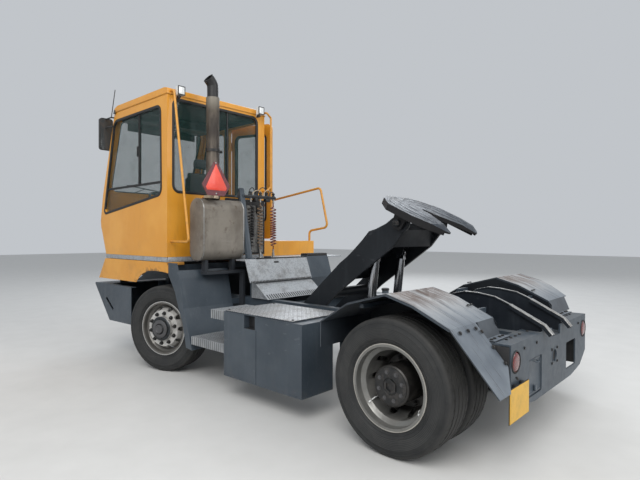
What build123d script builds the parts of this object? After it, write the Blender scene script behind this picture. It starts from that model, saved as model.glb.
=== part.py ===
from build123d import *
import math
import os

# Terminal tractor, 4x2, with a one-man cab on the left and a lifting fifth wheel.
# Millimetres. +X points forward, +Y to the left, +Z up. Every x below is measured ahead of the
# rear axle. The finished nodes are moved so that the middle of the overall box is the origin.

os.makedirs("parts", exist_ok=True)

# Overall layout
WHEELBASE = 3150
FRONT_OVERHANG = 1550
REAR_OVERHANG = 790
FRONT_END = WHEELBASE + FRONT_OVERHANG
ORIGIN_AHEAD = (FRONT_END - REAR_OVERHANG) / 2
BODY_HALF = 1200
GUARD_OUT = 1240
FIT = 0.3
SHEET = 8

# Wheels, 22.5 inch rims with low truck tyres
AXLE_Z = 478
TYRE_R = 478
TYRE_W = 280
TREAD_W = 232
RIM_FLANGE_R = 298.5
RIM_SEAT_R = 286
RIM_WELL_R = 252
RIM_W = 230
RIM_T = 11
STUD_PCD = 335
HAND_HOLES = 10
HAND_HOLE_R = 27
HUB_R = 112
FRONT_HUB_R = 135
REAR_HUB_R = 143
REAR_HUB_OUT = 81
TWIN_SPACING = 310
REAR_OUTER_Y = 1084
REAR_INNER_Y = REAR_OUTER_Y - TWIN_SPACING
SPINDLE_R = 45

# Steering
STEER_REST = 19
KINGPIN_Y = 860
KINGPIN_R = 22
FRONT_WHEEL_OUT = 185
STEER_ARM = 250
TIE_ROD_R = 17

# Chassis rails
RAIL_OUTER = 440
RAIL_FLANGE = 80
RAIL_T = 10
RAIL_TOP = 820
RAIL_DEPTH = 280
RAIL_BOTTOM = RAIL_TOP - RAIL_DEPTH
RAIL_INNER = RAIL_OUTER - RAIL_FLANGE
RAIL_REAR = -697
RAIL_FRONT = FRONT_END - 400

# Rear crossmember
REAR_FACE = -709
REAR_PLATE_T = 12
CROSS_HALF = 870
CROSS_OUTER_BOTTOM = 440
CROSS_MID_BOTTOM = 360
CROSS_MID_HALF = 585
CROSS_FLANGE = 155
TAIL_LAMP_Y = CROSS_HALF - 80
TAIL_LAMP_Z = 700
TAIL_LAMP_R = 75
TAIL_LAMP_DEEP = 90
HITCH_HOLE_R = 46
HITCH_BOLTS = (62, 52)
HITCH_BOLT_R = 8
HITCH_Z = 603

# Trailer ramps
RAMP_Y = 227
RAMP_PLATE_T = 12
RAMP_BAR_W = 62
RAMP_BAR_T = 24
RAMP_TIP = (-767, 800)
DECK_Z = 740
DECK_T = 12

# Lifting boom, its pivot, its head pin and its cylinders
BOOM_PIVOT = (1720, 610)
HEAD_PIN = (460, 1625)
CHEEK_OUT = 350
CHEEK_T = 30
PIVOT_R = 40
HEAD_PIN_R = 30
CYL_LOW_PIN = (916, 420)
CYL_TOP_PIN = (810, 1355)
CYL_Y = 220
BARREL_R = 62
BARREL_LENGTH = 500
ROD_R = 42.5
ROD_LENGTH = 520
CYL_PIN_R = 20
LUG_R = 40
LUG_T = 16
LUG_GAP = 6
EYE_HOLE_R = 39
EYE_R = 54
EYE_W = 50

# Fifth wheel, in its own frame: u along the plate to the front, w up from the pin
PLATE_TILT = 25.5
PLATE_TOP = 131
PLATE_T = 38
PLATE_FRONT = 340
PLATE_REAR = 421
PLATE_HALF = 455
HORN_OUT = 300
HORN_IN = 236
KINGPIN_SEAT_R = 38
HORN_BEVEL_FROM = -300
HORN_DROP = 24
PLATE_RIB_Y = (262, 274)
PLATE_RIB_DEEP = 30
PLATE_RIM_T = 14

# Cab
CAB_REAR = WHEELBASE - 283
CAB_LEFT = BODY_HALF
CAB_RIGHT = -180
CAB_BOTTOM = 1277
CAB_TOP = 3126
CAB_WALL = 40
CAB_FLOOR_T = 49
BROW = (CAB_REAR + 1272, 3060)
SCREEN_FOOT = (CAB_REAR + 1615, 2041)
NOSE = (CAB_REAR + 1682, 1708)
CHIN = [(NOSE[0] - 12, 1618), (NOSE[0] - 52, 1539)]
FRONT_FOOT = NOSE[0] - 158
FRONT_CORNER_R = 28
GLASS_T = 6
WINDOW_CORNER = 90
TILT_PIVOT = (FRONT_FOOT + 29, 1245)
TILT_Y = (-90, 380)
TILT_PIN_R = 12
TILT_LUG_R = 22
TILT_LUG_HALF = 20
TILT_CHEEK_T = 12
DASH_FACE = CAB_REAR + 1253
DASH_GAP = 6
SEAT_Y = 620

# Door in the right wall, hinged at its front edge and left ajar
DOOR_HINGE = (CAB_REAR + 733, CAB_RIGHT - 23)
DOOR_REAR = CAB_REAR + 68
DOOR_BOTTOM = 1475
DOOR_TOP = 3010
DOOR_T = 36
DOOR_AJAR = 17
DOOR_HINGE_GAP = 30
HINGE_R = 14
HINGE_HALF = 40
HINGE_HEIGHTS = (1700, 2750)

# Mirrors at the front corners of the cab
MIRROR_X = BROW[0] + 178
MIRROR_DEEP = 34
MIRROR_OUT = 25
MIRROR_W = 170
MIRROR_Z = (2600, 3005)

# Front end below the cab
GRILLE_Y = (220 - BODY_HALF, 260)
HEADLAMP_Y = [(BODY_HALF - 480, BODY_HALF - 270), (20 - BODY_HALF, 190 - BODY_HALF)]
SKIRT_TOP = 1220
SKIRT_BOTTOM = 960
SKIRT_NOSE = FRONT_END - 119
SKIRT_BROW = SKIRT_NOSE - 187
BUMPER_TOP = 892
BUMPER_REAR = WHEELBASE + 540
BUMPER_FOOT = (FRONT_END - 431, 433)
BUMPER_T = 10
HOOD_REAR = CAB_REAR + 78
HOOD_TOP = 1445
HOOD_LEFT = -224
DECK_TOP = 1250
DECK_REAR = CAB_REAR - 567
PLATFORM_T = 18
PLATES_LEFT = 585
PLATES_RIGHT = -385

# Exhaust
SILENCER_AT = (CAB_REAR - 267, 1577)
SILENCER_HALF = (125, 337)
SILENCER_ROUND = 118
SILENCER_Y = (460, 1005)
STACK_AT = (SILENCER_AT[0], 800)
STACK_R = 71
HEADER_X = SILENCER_AT[0] + 10
HEADER_LOW = 1962

# Left tool box and right tank
BOX_REAR = 823
BOX_FRONT = 1850
BOX_BOTTOM = 200
BOX_TOP = 800
BOX_INNER = 820
TANK_R = 70


def solids_of(*shapes):
    found = []
    for shape in shapes:
        if isinstance(shape, (list, tuple)):
            found += solids_of(*shape)
        else:
            found += list(shape.solids())
    return found


def write(name, *shapes):
    placed = [Pos(-ORIGIN_AHEAD, 0, 0) * solid for solid in solids_of(*shapes)]
    model = placed[0] if len(placed) == 1 else Compound(children=placed)
    model.label = name
    export_step(model, f"parts/{name}.step")


def block(x_span, y_span, z_span):
    size = [high - low for low, high in (x_span, y_span, z_span)]
    middle = [(low + high) / 2 for low, high in (x_span, y_span, z_span)]
    return Pos(*middle) * Box(*size)


def side_plate(points, y_low, y_high):
    """A plate cut to a side-view outline of (x, z) points."""
    outline = Polyline(*[(x, y_low, z) for x, z in points], close=True)
    return extrude(make_face(outline), amount=y_high - y_low, dir=(0, 1, 0))


def round_plate(points, radius, y_low, y_high):
    """As side_plate, with every corner rounded."""
    outline = FilletPolyline(*[(x, y_low, z) for x, z in points], radius=radius, close=True)
    return extrude(make_face(outline), amount=y_high - y_low, dir=(0, 1, 0))


def rear_plate(points, x_low, x_high):
    """A plate cut to a rear-view outline of (y, z) points."""
    outline = Polyline(*[(x_low, y, z) for y, z in points], close=True)
    return extrude(make_face(outline), amount=x_high - x_low, dir=(1, 0, 0))


def round_rear_plate(points, radius, x_low, x_high):
    outline = FilletPolyline(*[(x_low, y, z) for y, z in points], radius=radius, close=True)
    return extrude(make_face(outline), amount=x_high - x_low, dir=(1, 0, 0))


def top_plate(points, z_low, z_high):
    """A plate cut to a plan outline of (x, y) points."""
    outline = Polyline(*[(x, y, z_low) for x, y in points], close=True)
    return extrude(make_face(outline), amount=z_high - z_low, dir=(0, 0, 1))


def pin_y(at, radius, y_low, y_high):
    middle = (y_low + y_high) / 2
    return Pos(at[0], middle, at[1]) * Rot(90, 0, 0) * Cylinder(radius, y_high - y_low)


def pin_x(at, radius, x_low, x_high):
    middle = (x_low + x_high) / 2
    return Pos(middle, at[0], at[1]) * Rot(0, 90, 0) * Cylinder(radius, x_high - x_low)


def pin_z(at, radius, z_low, z_high):
    return Pos(at[0], at[1], (z_low + z_high) / 2) * Cylinder(radius, z_high - z_low)


def other_side(shape):
    return mirror(shape, about=Plane.XZ)


def both(shape):
    return [shape, other_side(shape)]


def offset_line(points, distance):
    """The side-view line moved by a distance to its left, with mitred bends."""
    moved = []
    for i, (x, z) in enumerate(points):
        normals = []
        for a, b in ((i - 1, i), (i, i + 1)):
            if a < 0 or b >= len(points):
                continue
            dx = points[b][0] - points[a][0]
            dz = points[b][1] - points[a][1]
            length = math.hypot(dx, dz)
            normals.append((-dz / length, dx / length))
        nx = sum(n[0] for n in normals) / len(normals)
        nz = sum(n[1] for n in normals) / len(normals)
        square = nx * nx + nz * nz
        moved.append((x + nx * distance / square, z + nz * distance / square))
    return moved


def bent_sheet(points, thickness, y_low, y_high):
    """Sheet metal that follows a side-view line, with its thickness to the left of the line."""
    inner = offset_line(points, thickness)
    return side_plate(list(points) + inner[::-1], y_low, y_high)


def bent_tube(points, radius, bend):
    """A round tube along straight runs joined by arcs."""
    path = FilletPolyline(*points, radius=bend)
    start = Plane(origin=path @ 0, z_dir=path % 0)
    return sweep(start * Circle(radius), path)


def revolved(section, centre):
    """A closed section of (y, r) points turned about the wheel's own axis."""
    outline = Polyline(*[(0, y, r) for y, r in section], close=True)
    return Pos(centre[0], centre[1], centre[2]) * revolve(make_face(outline), Axis.Y, 360)


def steered(shape, side):
    """Turn a front-wheel piece about its kingpin to the rest angle."""
    at = Pos(WHEELBASE, side * KINGPIN_Y, 0)
    return at * Rot(0, 0, STEER_REST) * at.inverse() * shape


def tyre(centre):
    half = TYRE_W / 2
    tread = TREAD_W / 2
    bead = RIM_W / 2 - 9
    seat = RIM_SEAT_R + FIT
    lip = RIM_FLANGE_R + 3
    bulge = (lip + TYRE_R) / 2
    edge = TYRE_R - 4
    line = [
        Line((0, -bead, seat), (0, bead, seat)),
        Line((0, bead, seat), (0, bead, lip)),
        ThreePointArc((0, bead, lip), (0, half, bulge), (0, tread + 12, edge - 20)),
        ThreePointArc((0, tread + 12, edge - 20), (0, tread + 5, edge - 6), (0, tread - 12, edge)),
        ThreePointArc((0, tread - 12, edge), (0, 0, TYRE_R), (0, 12 - tread, edge)),
        ThreePointArc((0, 12 - tread, edge), (0, -tread - 5, edge - 6), (0, -tread - 12, edge - 20)),
        ThreePointArc((0, -tread - 12, edge - 20), (0, -half, bulge), (0, -bead, lip)),
        Line((0, -bead, lip), (0, -bead, seat)),
    ]
    return Pos(*centre) * revolve(make_face(Wire(line)), Axis.Y, 360)


def rim_barrel(centre):
    half = RIM_W / 2
    lip = half - 8
    outer = [
        (-half, RIM_FLANGE_R), (-lip, RIM_FLANGE_R), (-lip, RIM_SEAT_R), (-62, RIM_SEAT_R - 3),
        (-40, RIM_WELL_R), (40, RIM_WELL_R), (62, RIM_SEAT_R - 3), (lip, RIM_SEAT_R),
        (lip, RIM_FLANGE_R), (half, RIM_FLANGE_R),
    ]
    inner = [
        (half, RIM_SEAT_R - RIM_T), (62, RIM_SEAT_R - RIM_T - 3), (40, RIM_WELL_R - RIM_T),
        (-40, RIM_WELL_R - RIM_T), (-62, RIM_SEAT_R - RIM_T - 3), (-half, RIM_SEAT_R - RIM_T),
    ]
    return revolved(outer + inner, centre)


def disc(centre, face, root, side):
    """The pressed disc: a flat ring at its mounting face, then a cone out to the well."""
    flat_r = STUD_PCD / 2 + 32
    well = RIM_WELL_R - RIM_T / 2
    section = [
        (face, HUB_R - 6), (face, flat_r), (root, well),
        (root - side * RIM_T * 1.4, well), (face - side * RIM_T, flat_r - 8),
        (face - side * RIM_T, HUB_R - 6),
    ]
    ring = revolved(section, centre)
    hole_ring = (flat_r + well) / 2
    drill = Rot(90, 0, 0) * Cylinder(HAND_HOLE_R, 400)
    holes = [
        Pos(*centre) * Rot(0, 360 / HAND_HOLES * i, 0) * Pos(hole_ring, 0, 0) * drill
        for i in range(HAND_HOLES)
    ]
    return ring - holes


def front_rim(side):
    centre = (WHEELBASE, side * (KINGPIN_Y + FRONT_WHEEL_OUT), AXLE_Z)
    face = side * (RIM_W / 2 - 4)
    hub = [
        (face + side * 60, 0), (face + side * 60, 44), (face + side * 52, 52), (face + side * 44, 54),
        (face + side * 44, FRONT_HUB_R - 14), (face + side * 34, FRONT_HUB_R),
        (face - side * 120, FRONT_HUB_R),
        (face - side * 120, 205),
        (face - side * 205, 205), (face - side * 205, SPINDLE_R + 1), (face - side * 30, SPINDLE_R + 1),
        (face - side * 30, 0),
    ]
    wheel = rim_barrel(centre) + disc(centre, face, side * 20, side) + revolved(hub, centre)
    return steered(wheel, side)


def front_tyre(side):
    centre = (WHEELBASE, side * (KINGPIN_Y + FRONT_WHEEL_OUT), AXLE_Z)
    return steered(tyre(centre), side)


def rear_rims(side):
    outer = (0, side * REAR_OUTER_Y, AXLE_Z)
    inner = (0, side * REAR_INNER_Y, AXLE_Z)
    mid = side * TWIN_SPACING / 2
    hub = [
        (side * REAR_HUB_OUT, 0), (side * REAR_HUB_OUT, REAR_HUB_R - 10),
        (side * (REAR_HUB_OUT - 8), REAR_HUB_R),
        (-mid + side * 25, REAR_HUB_R), (-mid + side * 15, HUB_R), (-mid - side * 14, HUB_R),
        (-mid - side * 14, 205), (-mid - side * 190, 205),
        (-mid - side * 190, SPINDLE_R + 11), (-mid + side * 60, SPINDLE_R + 11), (-mid + side * 60, 0),
    ]
    outer_disc = disc(outer, -mid, -side * 40, -side)
    inner_disc = disc(inner, mid, side * 40, side)
    return rim_barrel(outer) + outer_disc + rim_barrel(inner) + inner_disc + revolved(hub, outer)


def rear_tyres(side):
    return [tyre((0, side * y, AXLE_Z)) for y in (REAR_OUTER_Y, REAR_INNER_Y)]


def knuckle(side):
    at = (WHEELBASE, side * KINGPIN_Y)
    upper = pin_z(at, 50, AXLE_Z + 62, AXLE_Z + 106)
    lower = pin_z(at, 50, AXLE_Z - 106, AXLE_Z - 62)
    pin = pin_z(at, KINGPIN_R, AXLE_Z - 100, AXLE_Z + 100)
    web_y = [side * (KINGPIN_Y + 30), side * (KINGPIN_Y + 56)]
    arms = [
        block((WHEELBASE - 40, WHEELBASE + 40), sorted((side * KINGPIN_Y, web_y[1])), span)
        for span in ((AXLE_Z + 64, AXLE_Z + 104), (AXLE_Z - 104, AXLE_Z - 64))
    ]
    web_far = side * (KINGPIN_Y + 82)
    web = block((WHEELBASE - 55, WHEELBASE + 55), sorted((side * (KINGPIN_Y + 58), web_far)),
                (AXLE_Z - 104, AXLE_Z + 104))
    joiners = [
        block((WHEELBASE - 40, WHEELBASE + 40), sorted((side * (KINGPIN_Y + 40), web_far)), span)
        for span in ((AXLE_Z + 64, AXLE_Z + 104), (AXLE_Z - 104, AXLE_Z - 64))
    ]
    spindle_end = side * (KINGPIN_Y + FRONT_WHEEL_OUT + 60)
    spindle = pin_y((WHEELBASE, AXLE_Z), SPINDLE_R, *sorted((web_far - side * 4, spindle_end)))
    arm_z = (AXLE_Z - 104, AXLE_Z - 76)
    arm = block((WHEELBASE - STEER_ARM, WHEELBASE), (at[1] - 24, at[1] + 24), arm_z)
    eye = pin_z((WHEELBASE - STEER_ARM, at[1]), 30, *arm_z)
    stud = pin_z((WHEELBASE - STEER_ARM, at[1]), 11, AXLE_Z - 136, AXLE_Z - 80)
    body = upper + lower + pin + arms + joiners + web + spindle + arm + eye + stud
    return steered(body, side)


def arm_end(side):
    turn = math.radians(STEER_REST)
    return (WHEELBASE - STEER_ARM * math.cos(turn), side * KINGPIN_Y - STEER_ARM * math.sin(turn))


def tie_rod():
    left = arm_end(1)
    right = arm_end(-1)
    z = AXLE_Z - 122
    tube = pin_y((left[0], z), TIE_ROD_R, right[1], left[1])
    eyes = [pin_z(at, 28, z - 15, z + 15) for at in (left, right)]
    holes = [pin_z(at, 11.5, z - 30, z + 30) for at in (left, right)]
    return tube + eyes - holes


def front_axle():
    mid = AXLE_Z - 35
    beam = block((WHEELBASE - 45, WHEELBASE + 45), (-KINGPIN_Y + 120, KINGPIN_Y - 120), (mid - 55, mid + 45))
    cut = [
        block((WHEELBASE + s * 45 - 28, WHEELBASE + s * 45 + 28), (-KINGPIN_Y + 190, KINGPIN_Y - 190),
              (mid - 35, mid + 25))
        for s in (-1, 1)
    ]
    beam = beam - cut
    for side in (1, -1):
        near = side * (KINGPIN_Y - 125)
        fist = pin_z((WHEELBASE, side * KINGPIN_Y), 46, AXLE_Z - 56, AXLE_Z + 56)
        neck = block((WHEELBASE - 36, WHEELBASE + 36), sorted((near, side * (KINGPIN_Y - 20))),
                     (AXLE_Z - 56, AXLE_Z + 30))
        bore = pin_z((WHEELBASE, side * KINGPIN_Y), KINGPIN_R + 0.6, AXLE_Z - 90, AXLE_Z + 90)
        beam = beam + fist + neck - bore
    springs = []
    spring_y = RAIL_OUTER - 45
    rise = RAIL_BOTTOM - 26
    low = mid + 45
    half_way = (rise + low) / 2 + 6
    leaf = [(-640, rise), (-320, half_way), (0, low + 26), (320, half_way), (640, rise)]
    for side in (1, -1):
        line = [(WHEELBASE + x, z) for x, z in leaf]
        span = sorted((side * (spring_y - 38), side * (spring_y + 38)))
        leaves = bent_sheet(line, -26, *span)
        hangers = [
            block((WHEELBASE + x - 45, WHEELBASE + x + 45), span, (rise - 30, RAIL_BOTTOM))
            for x in (-620, 620)
        ]
        pad = block((WHEELBASE - 50, WHEELBASE + 50), span, (mid + 40, low + 6))
        springs += [leaves + hangers + pad]
    body = beam
    for spring in springs:
        body = body + spring
    return body


def rear_axle():
    tube_half = (RAIL_BOTTOM - AXLE_Z)
    inner_end = REAR_INNER_Y - TYRE_W / 2 + 20
    tube = block((-tube_half, tube_half), (-inner_end, inner_end), (AXLE_Z - tube_half, AXLE_Z + tube_half))
    spindles = pin_y((0, AXLE_Z), SPINDLE_R + 10, -REAR_OUTER_Y + 110, REAR_OUTER_Y - 110)
    carrier = Pos(0, 0, AXLE_Z) * Sphere(168)
    nose = pin_x((0, AXLE_Z + 10), 80, 40, 300)
    pads = [
        block((-70, 70), sorted((side * (RAIL_INNER + 4), side * (RAIL_OUTER + 20))), (AXLE_Z - 80, AXLE_Z))
        for side in (1, -1)
    ]
    return tube + spindles + carrier + nose + pads


def rails():
    rail = block((RAIL_REAR, RAIL_FRONT), (RAIL_INNER, RAIL_OUTER), (RAIL_BOTTOM, RAIL_TOP))
    hollow = block((RAIL_REAR - 1, RAIL_FRONT + 1), (RAIL_INNER - 1, RAIL_OUTER - RAIL_T),
                   (RAIL_BOTTOM + RAIL_T, RAIL_TOP - RAIL_T))
    rail = rail - hollow
    return rail - block((RAIL_REAR - 1, -650), (RAIL_INNER - 5, RAIL_OUTER + 5), (RAIL_BOTTOM - 5, 680))


def frame():
    body = rails()
    body = body + other_side(body)
    reach = RAIL_OUTER - RAIL_T / 2
    crossings = [
        # x from, x to, z from, z to
        (-520, -440, 600, 720),
        (BOOM_PIVOT[0] + 265, BOOM_PIVOT[0] + 365, 640, 760),
        (SILENCER_AT[0] - 40, SILENCER_AT[0] + 40, 690, 760),
        (RAIL_FRONT - 120, RAIL_FRONT - 40, 560, 760),
    ]
    for x_low, x_high, z_low, z_high in crossings:
        body = body + block((x_low, x_high), (-reach, reach), (z_low, z_high))
    deck = block((RAIL_REAR, 130), (-reach, reach), (DECK_Z, DECK_Z + DECK_T))
    body = body + deck
    bearing_in = CHEEK_OUT + 5
    for side in (1, -1):
        span = sorted((side * bearing_in, side * reach))
        bearing = block((BOOM_PIVOT[0] - 90, BOOM_PIVOT[0] + 90), span, (RAIL_BOTTOM + 2, BOOM_PIVOT[1] + 80))
        pivot = pin_y(BOOM_PIVOT, PIVOT_R, *sorted((side * (CHEEK_OUT - CHEEK_T - 12), side * reach)))
        body = body + bearing + pivot
    hanger_z = CYL_LOW_PIN[1] - 40
    beam = block((CYL_LOW_PIN[0] + 75, CYL_LOW_PIN[0] + 150), (-RAIL_OUTER, RAIL_OUTER),
                 (hanger_z, hanger_z + 70))
    body = body + beam
    for side in (1, -1):
        drop = block((CYL_LOW_PIN[0] + 75, CYL_LOW_PIN[0] + 150),
                     sorted((side * (RAIL_OUTER - 30), side * RAIL_OUTER)), (hanger_z, RAIL_BOTTOM + 2))
        body = body + drop
        for offset in (-1, 1):
            inner = side * CYL_Y + offset * (EYE_W / 2 + LUG_GAP)
            span = sorted((inner, inner + offset * LUG_T))
            lug = side_plate([
                (CYL_LOW_PIN[0], CYL_LOW_PIN[1] - LUG_R + 1), (CYL_LOW_PIN[0], CYL_LOW_PIN[1] + LUG_R - 1),
                (CYL_LOW_PIN[0] + 76, hanger_z + 60), (CYL_LOW_PIN[0] + 76, hanger_z + 5),
            ], *span)
            body = body + lug + pin_y(CYL_LOW_PIN, LUG_R, *span)
        pin_half = EYE_W / 2 + 24
        body = body + pin_y(CYL_LOW_PIN, CYL_PIN_R, side * CYL_Y - pin_half, side * CYL_Y + pin_half)
    arms = [
        # x, side, outer end, z from, z to
        (BOX_REAR + 157, 1, BOX_INNER, 600, 660),
        (BOX_FRONT - 150, 1, BOX_INNER, 600, 660),
        (BOX_REAR + 157, -1, BOX_INNER, 600, 660),
        (BOX_FRONT - 150, -1, BOX_INNER, 600, 660),
    ]
    for x, side, outer, z_low, z_high in arms:
        span = sorted((side * (RAIL_OUTER - 5), side * (outer - FIT)))
        body = body + block((x - 35, x + 35), span, (z_low, z_high))
    for x, top in ((290, 1005), (-330, 975)):
        for side in (1, -1):
            post = block((x - 12, x + 12), sorted((side * 400, side * RAIL_OUTER)), (RAIL_TOP - 2, top))
            arm = block((x - 12, x + 12), sorted((side * 400, side * (600 - FIT))), (top - 50, top))
            body = body + post + arm
    # Cab and deck supports on the rails
    cab_beam = block((CAB_REAR + 25, CAB_REAR + 105), (-BODY_HALF + SHEET + FIT, BODY_HALF - SHEET - FIT),
                     (1130, 1190))
    body = body + cab_beam
    for side in (1, -1):
        leg = sorted((side * (RAIL_INNER + 20), side * RAIL_OUTER))
        body = body + block((CAB_REAR + 25, CAB_REAR + 105), leg, (RAIL_TOP - 2, 1132))
        post_x = DECK_REAR + (30 if side > 0 else 115)
        body = body + block((post_x, post_x + 60), leg, (RAIL_TOP - 2, DECK_TOP - PLATFORM_T - FIT))
    for y in (-100, 1100):
        pad = block((CAB_REAR + 35, CAB_REAR + 95), (y - 35, y + 35), (1188, CAB_BOTTOM - CAB_FLOOR_T - FIT))
        body = body + pad
    for y in TILT_Y:
        front_post = block((RAIL_FRONT - 120, RAIL_FRONT - 40), (y - 40, y + 40),
                           (756, CAB_BOTTOM - CAB_FLOOR_T - FIT))
        body = body + front_post
    for y in TILT_Y:
        for cheek in tilt_bracket(y):
            body = body + cheek
    for x in (WHEELBASE + 70, WHEELBASE + 670):
        for side in (1, -1):
            mount = block((x - 40, x + 40), sorted((side * (330 + FIT), side * reach)), (700, 760))
            body = body + mount
    return body


def tilt_bracket(y):
    """Two cheeks from a front post to the cab's tilting pin, which they hold."""
    x, z = TILT_PIVOT
    arm = [(RAIL_FRONT - 44, 1150), (RAIL_FRONT - 44, 1221), (x - 18, 1221), (x, z), (x + 14, z - 17),
           (x - 20, 1204), (x - 50, 1196)]
    made = []
    for offset in (-1, 1):
        near = y + offset * (TILT_LUG_HALF + LUG_GAP)
        span = sorted((near, near + offset * TILT_CHEEK_T))
        made.append(side_plate(arm, *span) + pin_y(TILT_PIVOT, TILT_LUG_R, *span))
    half = TILT_LUG_HALF + LUG_GAP + TILT_CHEEK_T
    made.append(pin_y(TILT_PIVOT, TILT_PIN_R, y - half, y + half))
    return made


def rear_crossmember():
    outline = [
        (-CROSS_HALF, RAIL_TOP), (CROSS_HALF, RAIL_TOP), (CROSS_HALF, CROSS_OUTER_BOTTOM + 60),
        (CROSS_MID_HALF + 120, CROSS_OUTER_BOTTOM - 40), (CROSS_MID_HALF, CROSS_MID_BOTTOM + 20),
        (CROSS_MID_HALF - 160, CROSS_MID_BOTTOM), (-CROSS_MID_HALF + 160, CROSS_MID_BOTTOM),
        (-CROSS_MID_HALF, CROSS_MID_BOTTOM + 20), (-CROSS_MID_HALF - 120, CROSS_OUTER_BOTTOM - 40),
        (-CROSS_HALF, CROSS_OUTER_BOTTOM + 60),
    ]
    front = REAR_FACE + REAR_PLATE_T
    plate = rear_plate(outline, REAR_FACE, front)
    for y in (TAIL_LAMP_Y, -TAIL_LAMP_Y):
        plate = plate - pin_x((y, TAIL_LAMP_Z), TAIL_LAMP_R, REAR_FACE - 5, front + 5)
    plate = plate - pin_x((0, HITCH_Z), HITCH_HOLE_R, REAR_FACE - 5, front + 5)
    for y in (-HITCH_BOLTS[0], HITCH_BOLTS[0]):
        for rise in (-HITCH_BOLTS[1], HITCH_BOLTS[1]):
            plate = plate - pin_x((y, HITCH_Z + rise), HITCH_BOLT_R, REAR_FACE - 5, front + 5)
    window = round_rear_plate([(-560, 435), (-300, 435), (-300, 650), (-560, 650)], 14,
                              REAR_FACE - 5, front + 5)
    pocket = round_rear_plate([(290, 405), (554, 405), (554, 665), (290, 665)], 14,
                              REAR_FACE - 5, front + 5)
    plate = plate - window - pocket
    tray = block((front - 2, front + 40), (280, 564), (395, 675))
    tray_hollow = block((front - 3, front + 32), (290, 554), (405, 665))
    plate = plate + (tray - tray_hollow)
    flange_x = (REAR_FACE, REAR_FACE + CROSS_FLANGE)
    for side in (1, -1):
        for near, far in ((RAMP_Y + 60, RAIL_INNER - FIT), (RAIL_OUTER + FIT, CROSS_HALF)):
            wing = block(flange_x, sorted((side * near, side * far)), (RAIL_TOP - REAR_PLATE_T, RAIL_TOP))
            plate = plate + wing
        plate = plate + rear_gusset(side)
    slot = block((REAR_FACE - 5, front + 5), (-140, 60), (RAIL_TOP - 70, RAIL_TOP + 5))
    return plate - slot


def rear_gusset(side):
    far = REAR_FACE + CROSS_FLANGE
    near = REAR_FACE + REAR_PLATE_T
    outline = [(near, RAIL_TOP), (far, RAIL_TOP), (near + 12, CROSS_OUTER_BOTTOM + 80),
               (near, CROSS_OUTER_BOTTOM + 80)]
    inner = TAIL_LAMP_Y - TAIL_LAMP_R - 25
    return side_plate(outline, *sorted((side * inner, side * (inner + REAR_PLATE_T))))


def trailer_ramps():
    top = [RAMP_TIP, (-712, 862), (-456, 991), (-338, 1040), (-200, 1060), (-90, 1064), (10, 1040), (90, 985)]
    foot = DECK_Z + DECK_T + FIT
    plate_line = [(-690, foot), (-690, 866), (-640, 885), (-456, 980), (-338, 1034), (-200, 1056), (-90, 1060),
                  (10, 1036), (90, 981), (118, 900), (118, foot)]
    plate = side_plate(plate_line, RAMP_Y - RAMP_PLATE_T / 2, RAMP_Y + RAMP_PLATE_T / 2)
    bar = bent_sheet(top[:3], -RAMP_BAR_T, RAMP_Y - RAMP_BAR_W / 2, RAMP_Y + RAMP_BAR_W / 2)
    rail = bent_sheet(top[2:], -10, RAMP_Y - 14, RAMP_Y + 14)
    one = plate + bar + rail
    return both(one)


def boom():
    outline = [
        (1760, 520), (1800, 590), (1790, 680), (1617, 835), (1142, 1253), (545, 1666),
        (520, 1680), (440, 1705), (392, 1668), (384, 1600), (543, 1411), (1141, 984), (1360, 790), (1600, 560),
        (1680, 520),
    ]
    cheek = side_plate(outline, CHEEK_OUT - CHEEK_T, CHEEK_OUT)
    cheek = cheek - pin_y(BOOM_PIVOT, PIVOT_R + 0.5, 0, 500)
    head = pin_y(HEAD_PIN, 76, CHEEK_OUT - CHEEK_T - 20, CHEEK_OUT + 4)
    pin = pin_y(HEAD_PIN, HEAD_PIN_R, CHEEK_OUT - CHEEK_T, CHEEK_OUT + 62)
    side = cheek + head + pin
    body = side + other_side(side)
    inside = CHEEK_OUT - CHEEK_T + 2
    top_line = [(560, 1632), (1142, 1230), (1330, 1064)]
    body = body + bent_sheet(top_line, -14, -inside, inside)
    body = body + bent_sheet([(492, 1570), (541, 1412)], 14, -inside, inside)
    body = body + bent_sheet([(492, 1570), (560, 1632)], -14, -inside, inside)
    body = body + pin_y((1300, 940), 50, -inside, inside)
    for y in (CYL_Y, -CYL_Y):
        for offset in (-1, 1):
            inner = y + offset * (EYE_W / 2 + LUG_GAP)
            span = sorted((inner, inner + offset * LUG_T))
            lug = side_plate([
                (CYL_TOP_PIN[0] - 36, CYL_TOP_PIN[1] - 20), (CYL_TOP_PIN[0] - 90, CYL_TOP_PIN[1] + 154),
                (CYL_TOP_PIN[0] + 110, CYL_TOP_PIN[1] + 16), (CYL_TOP_PIN[0] + 20, CYL_TOP_PIN[1] - 36),
            ], *span)
            body = body + lug + pin_y(CYL_TOP_PIN, LUG_R, *span)
        pin_half = EYE_W / 2 + 24
        body = body + pin_y(CYL_TOP_PIN, CYL_PIN_R, y - pin_half, y + pin_half)
    return body


def on_plate(shape):
    """Tilt a piece drawn level about the head pin to the plate's rest angle."""
    return Pos(HEAD_PIN[0], 0, HEAD_PIN[1]) * Rot(0, -PLATE_TILT, 0) * shape


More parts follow.
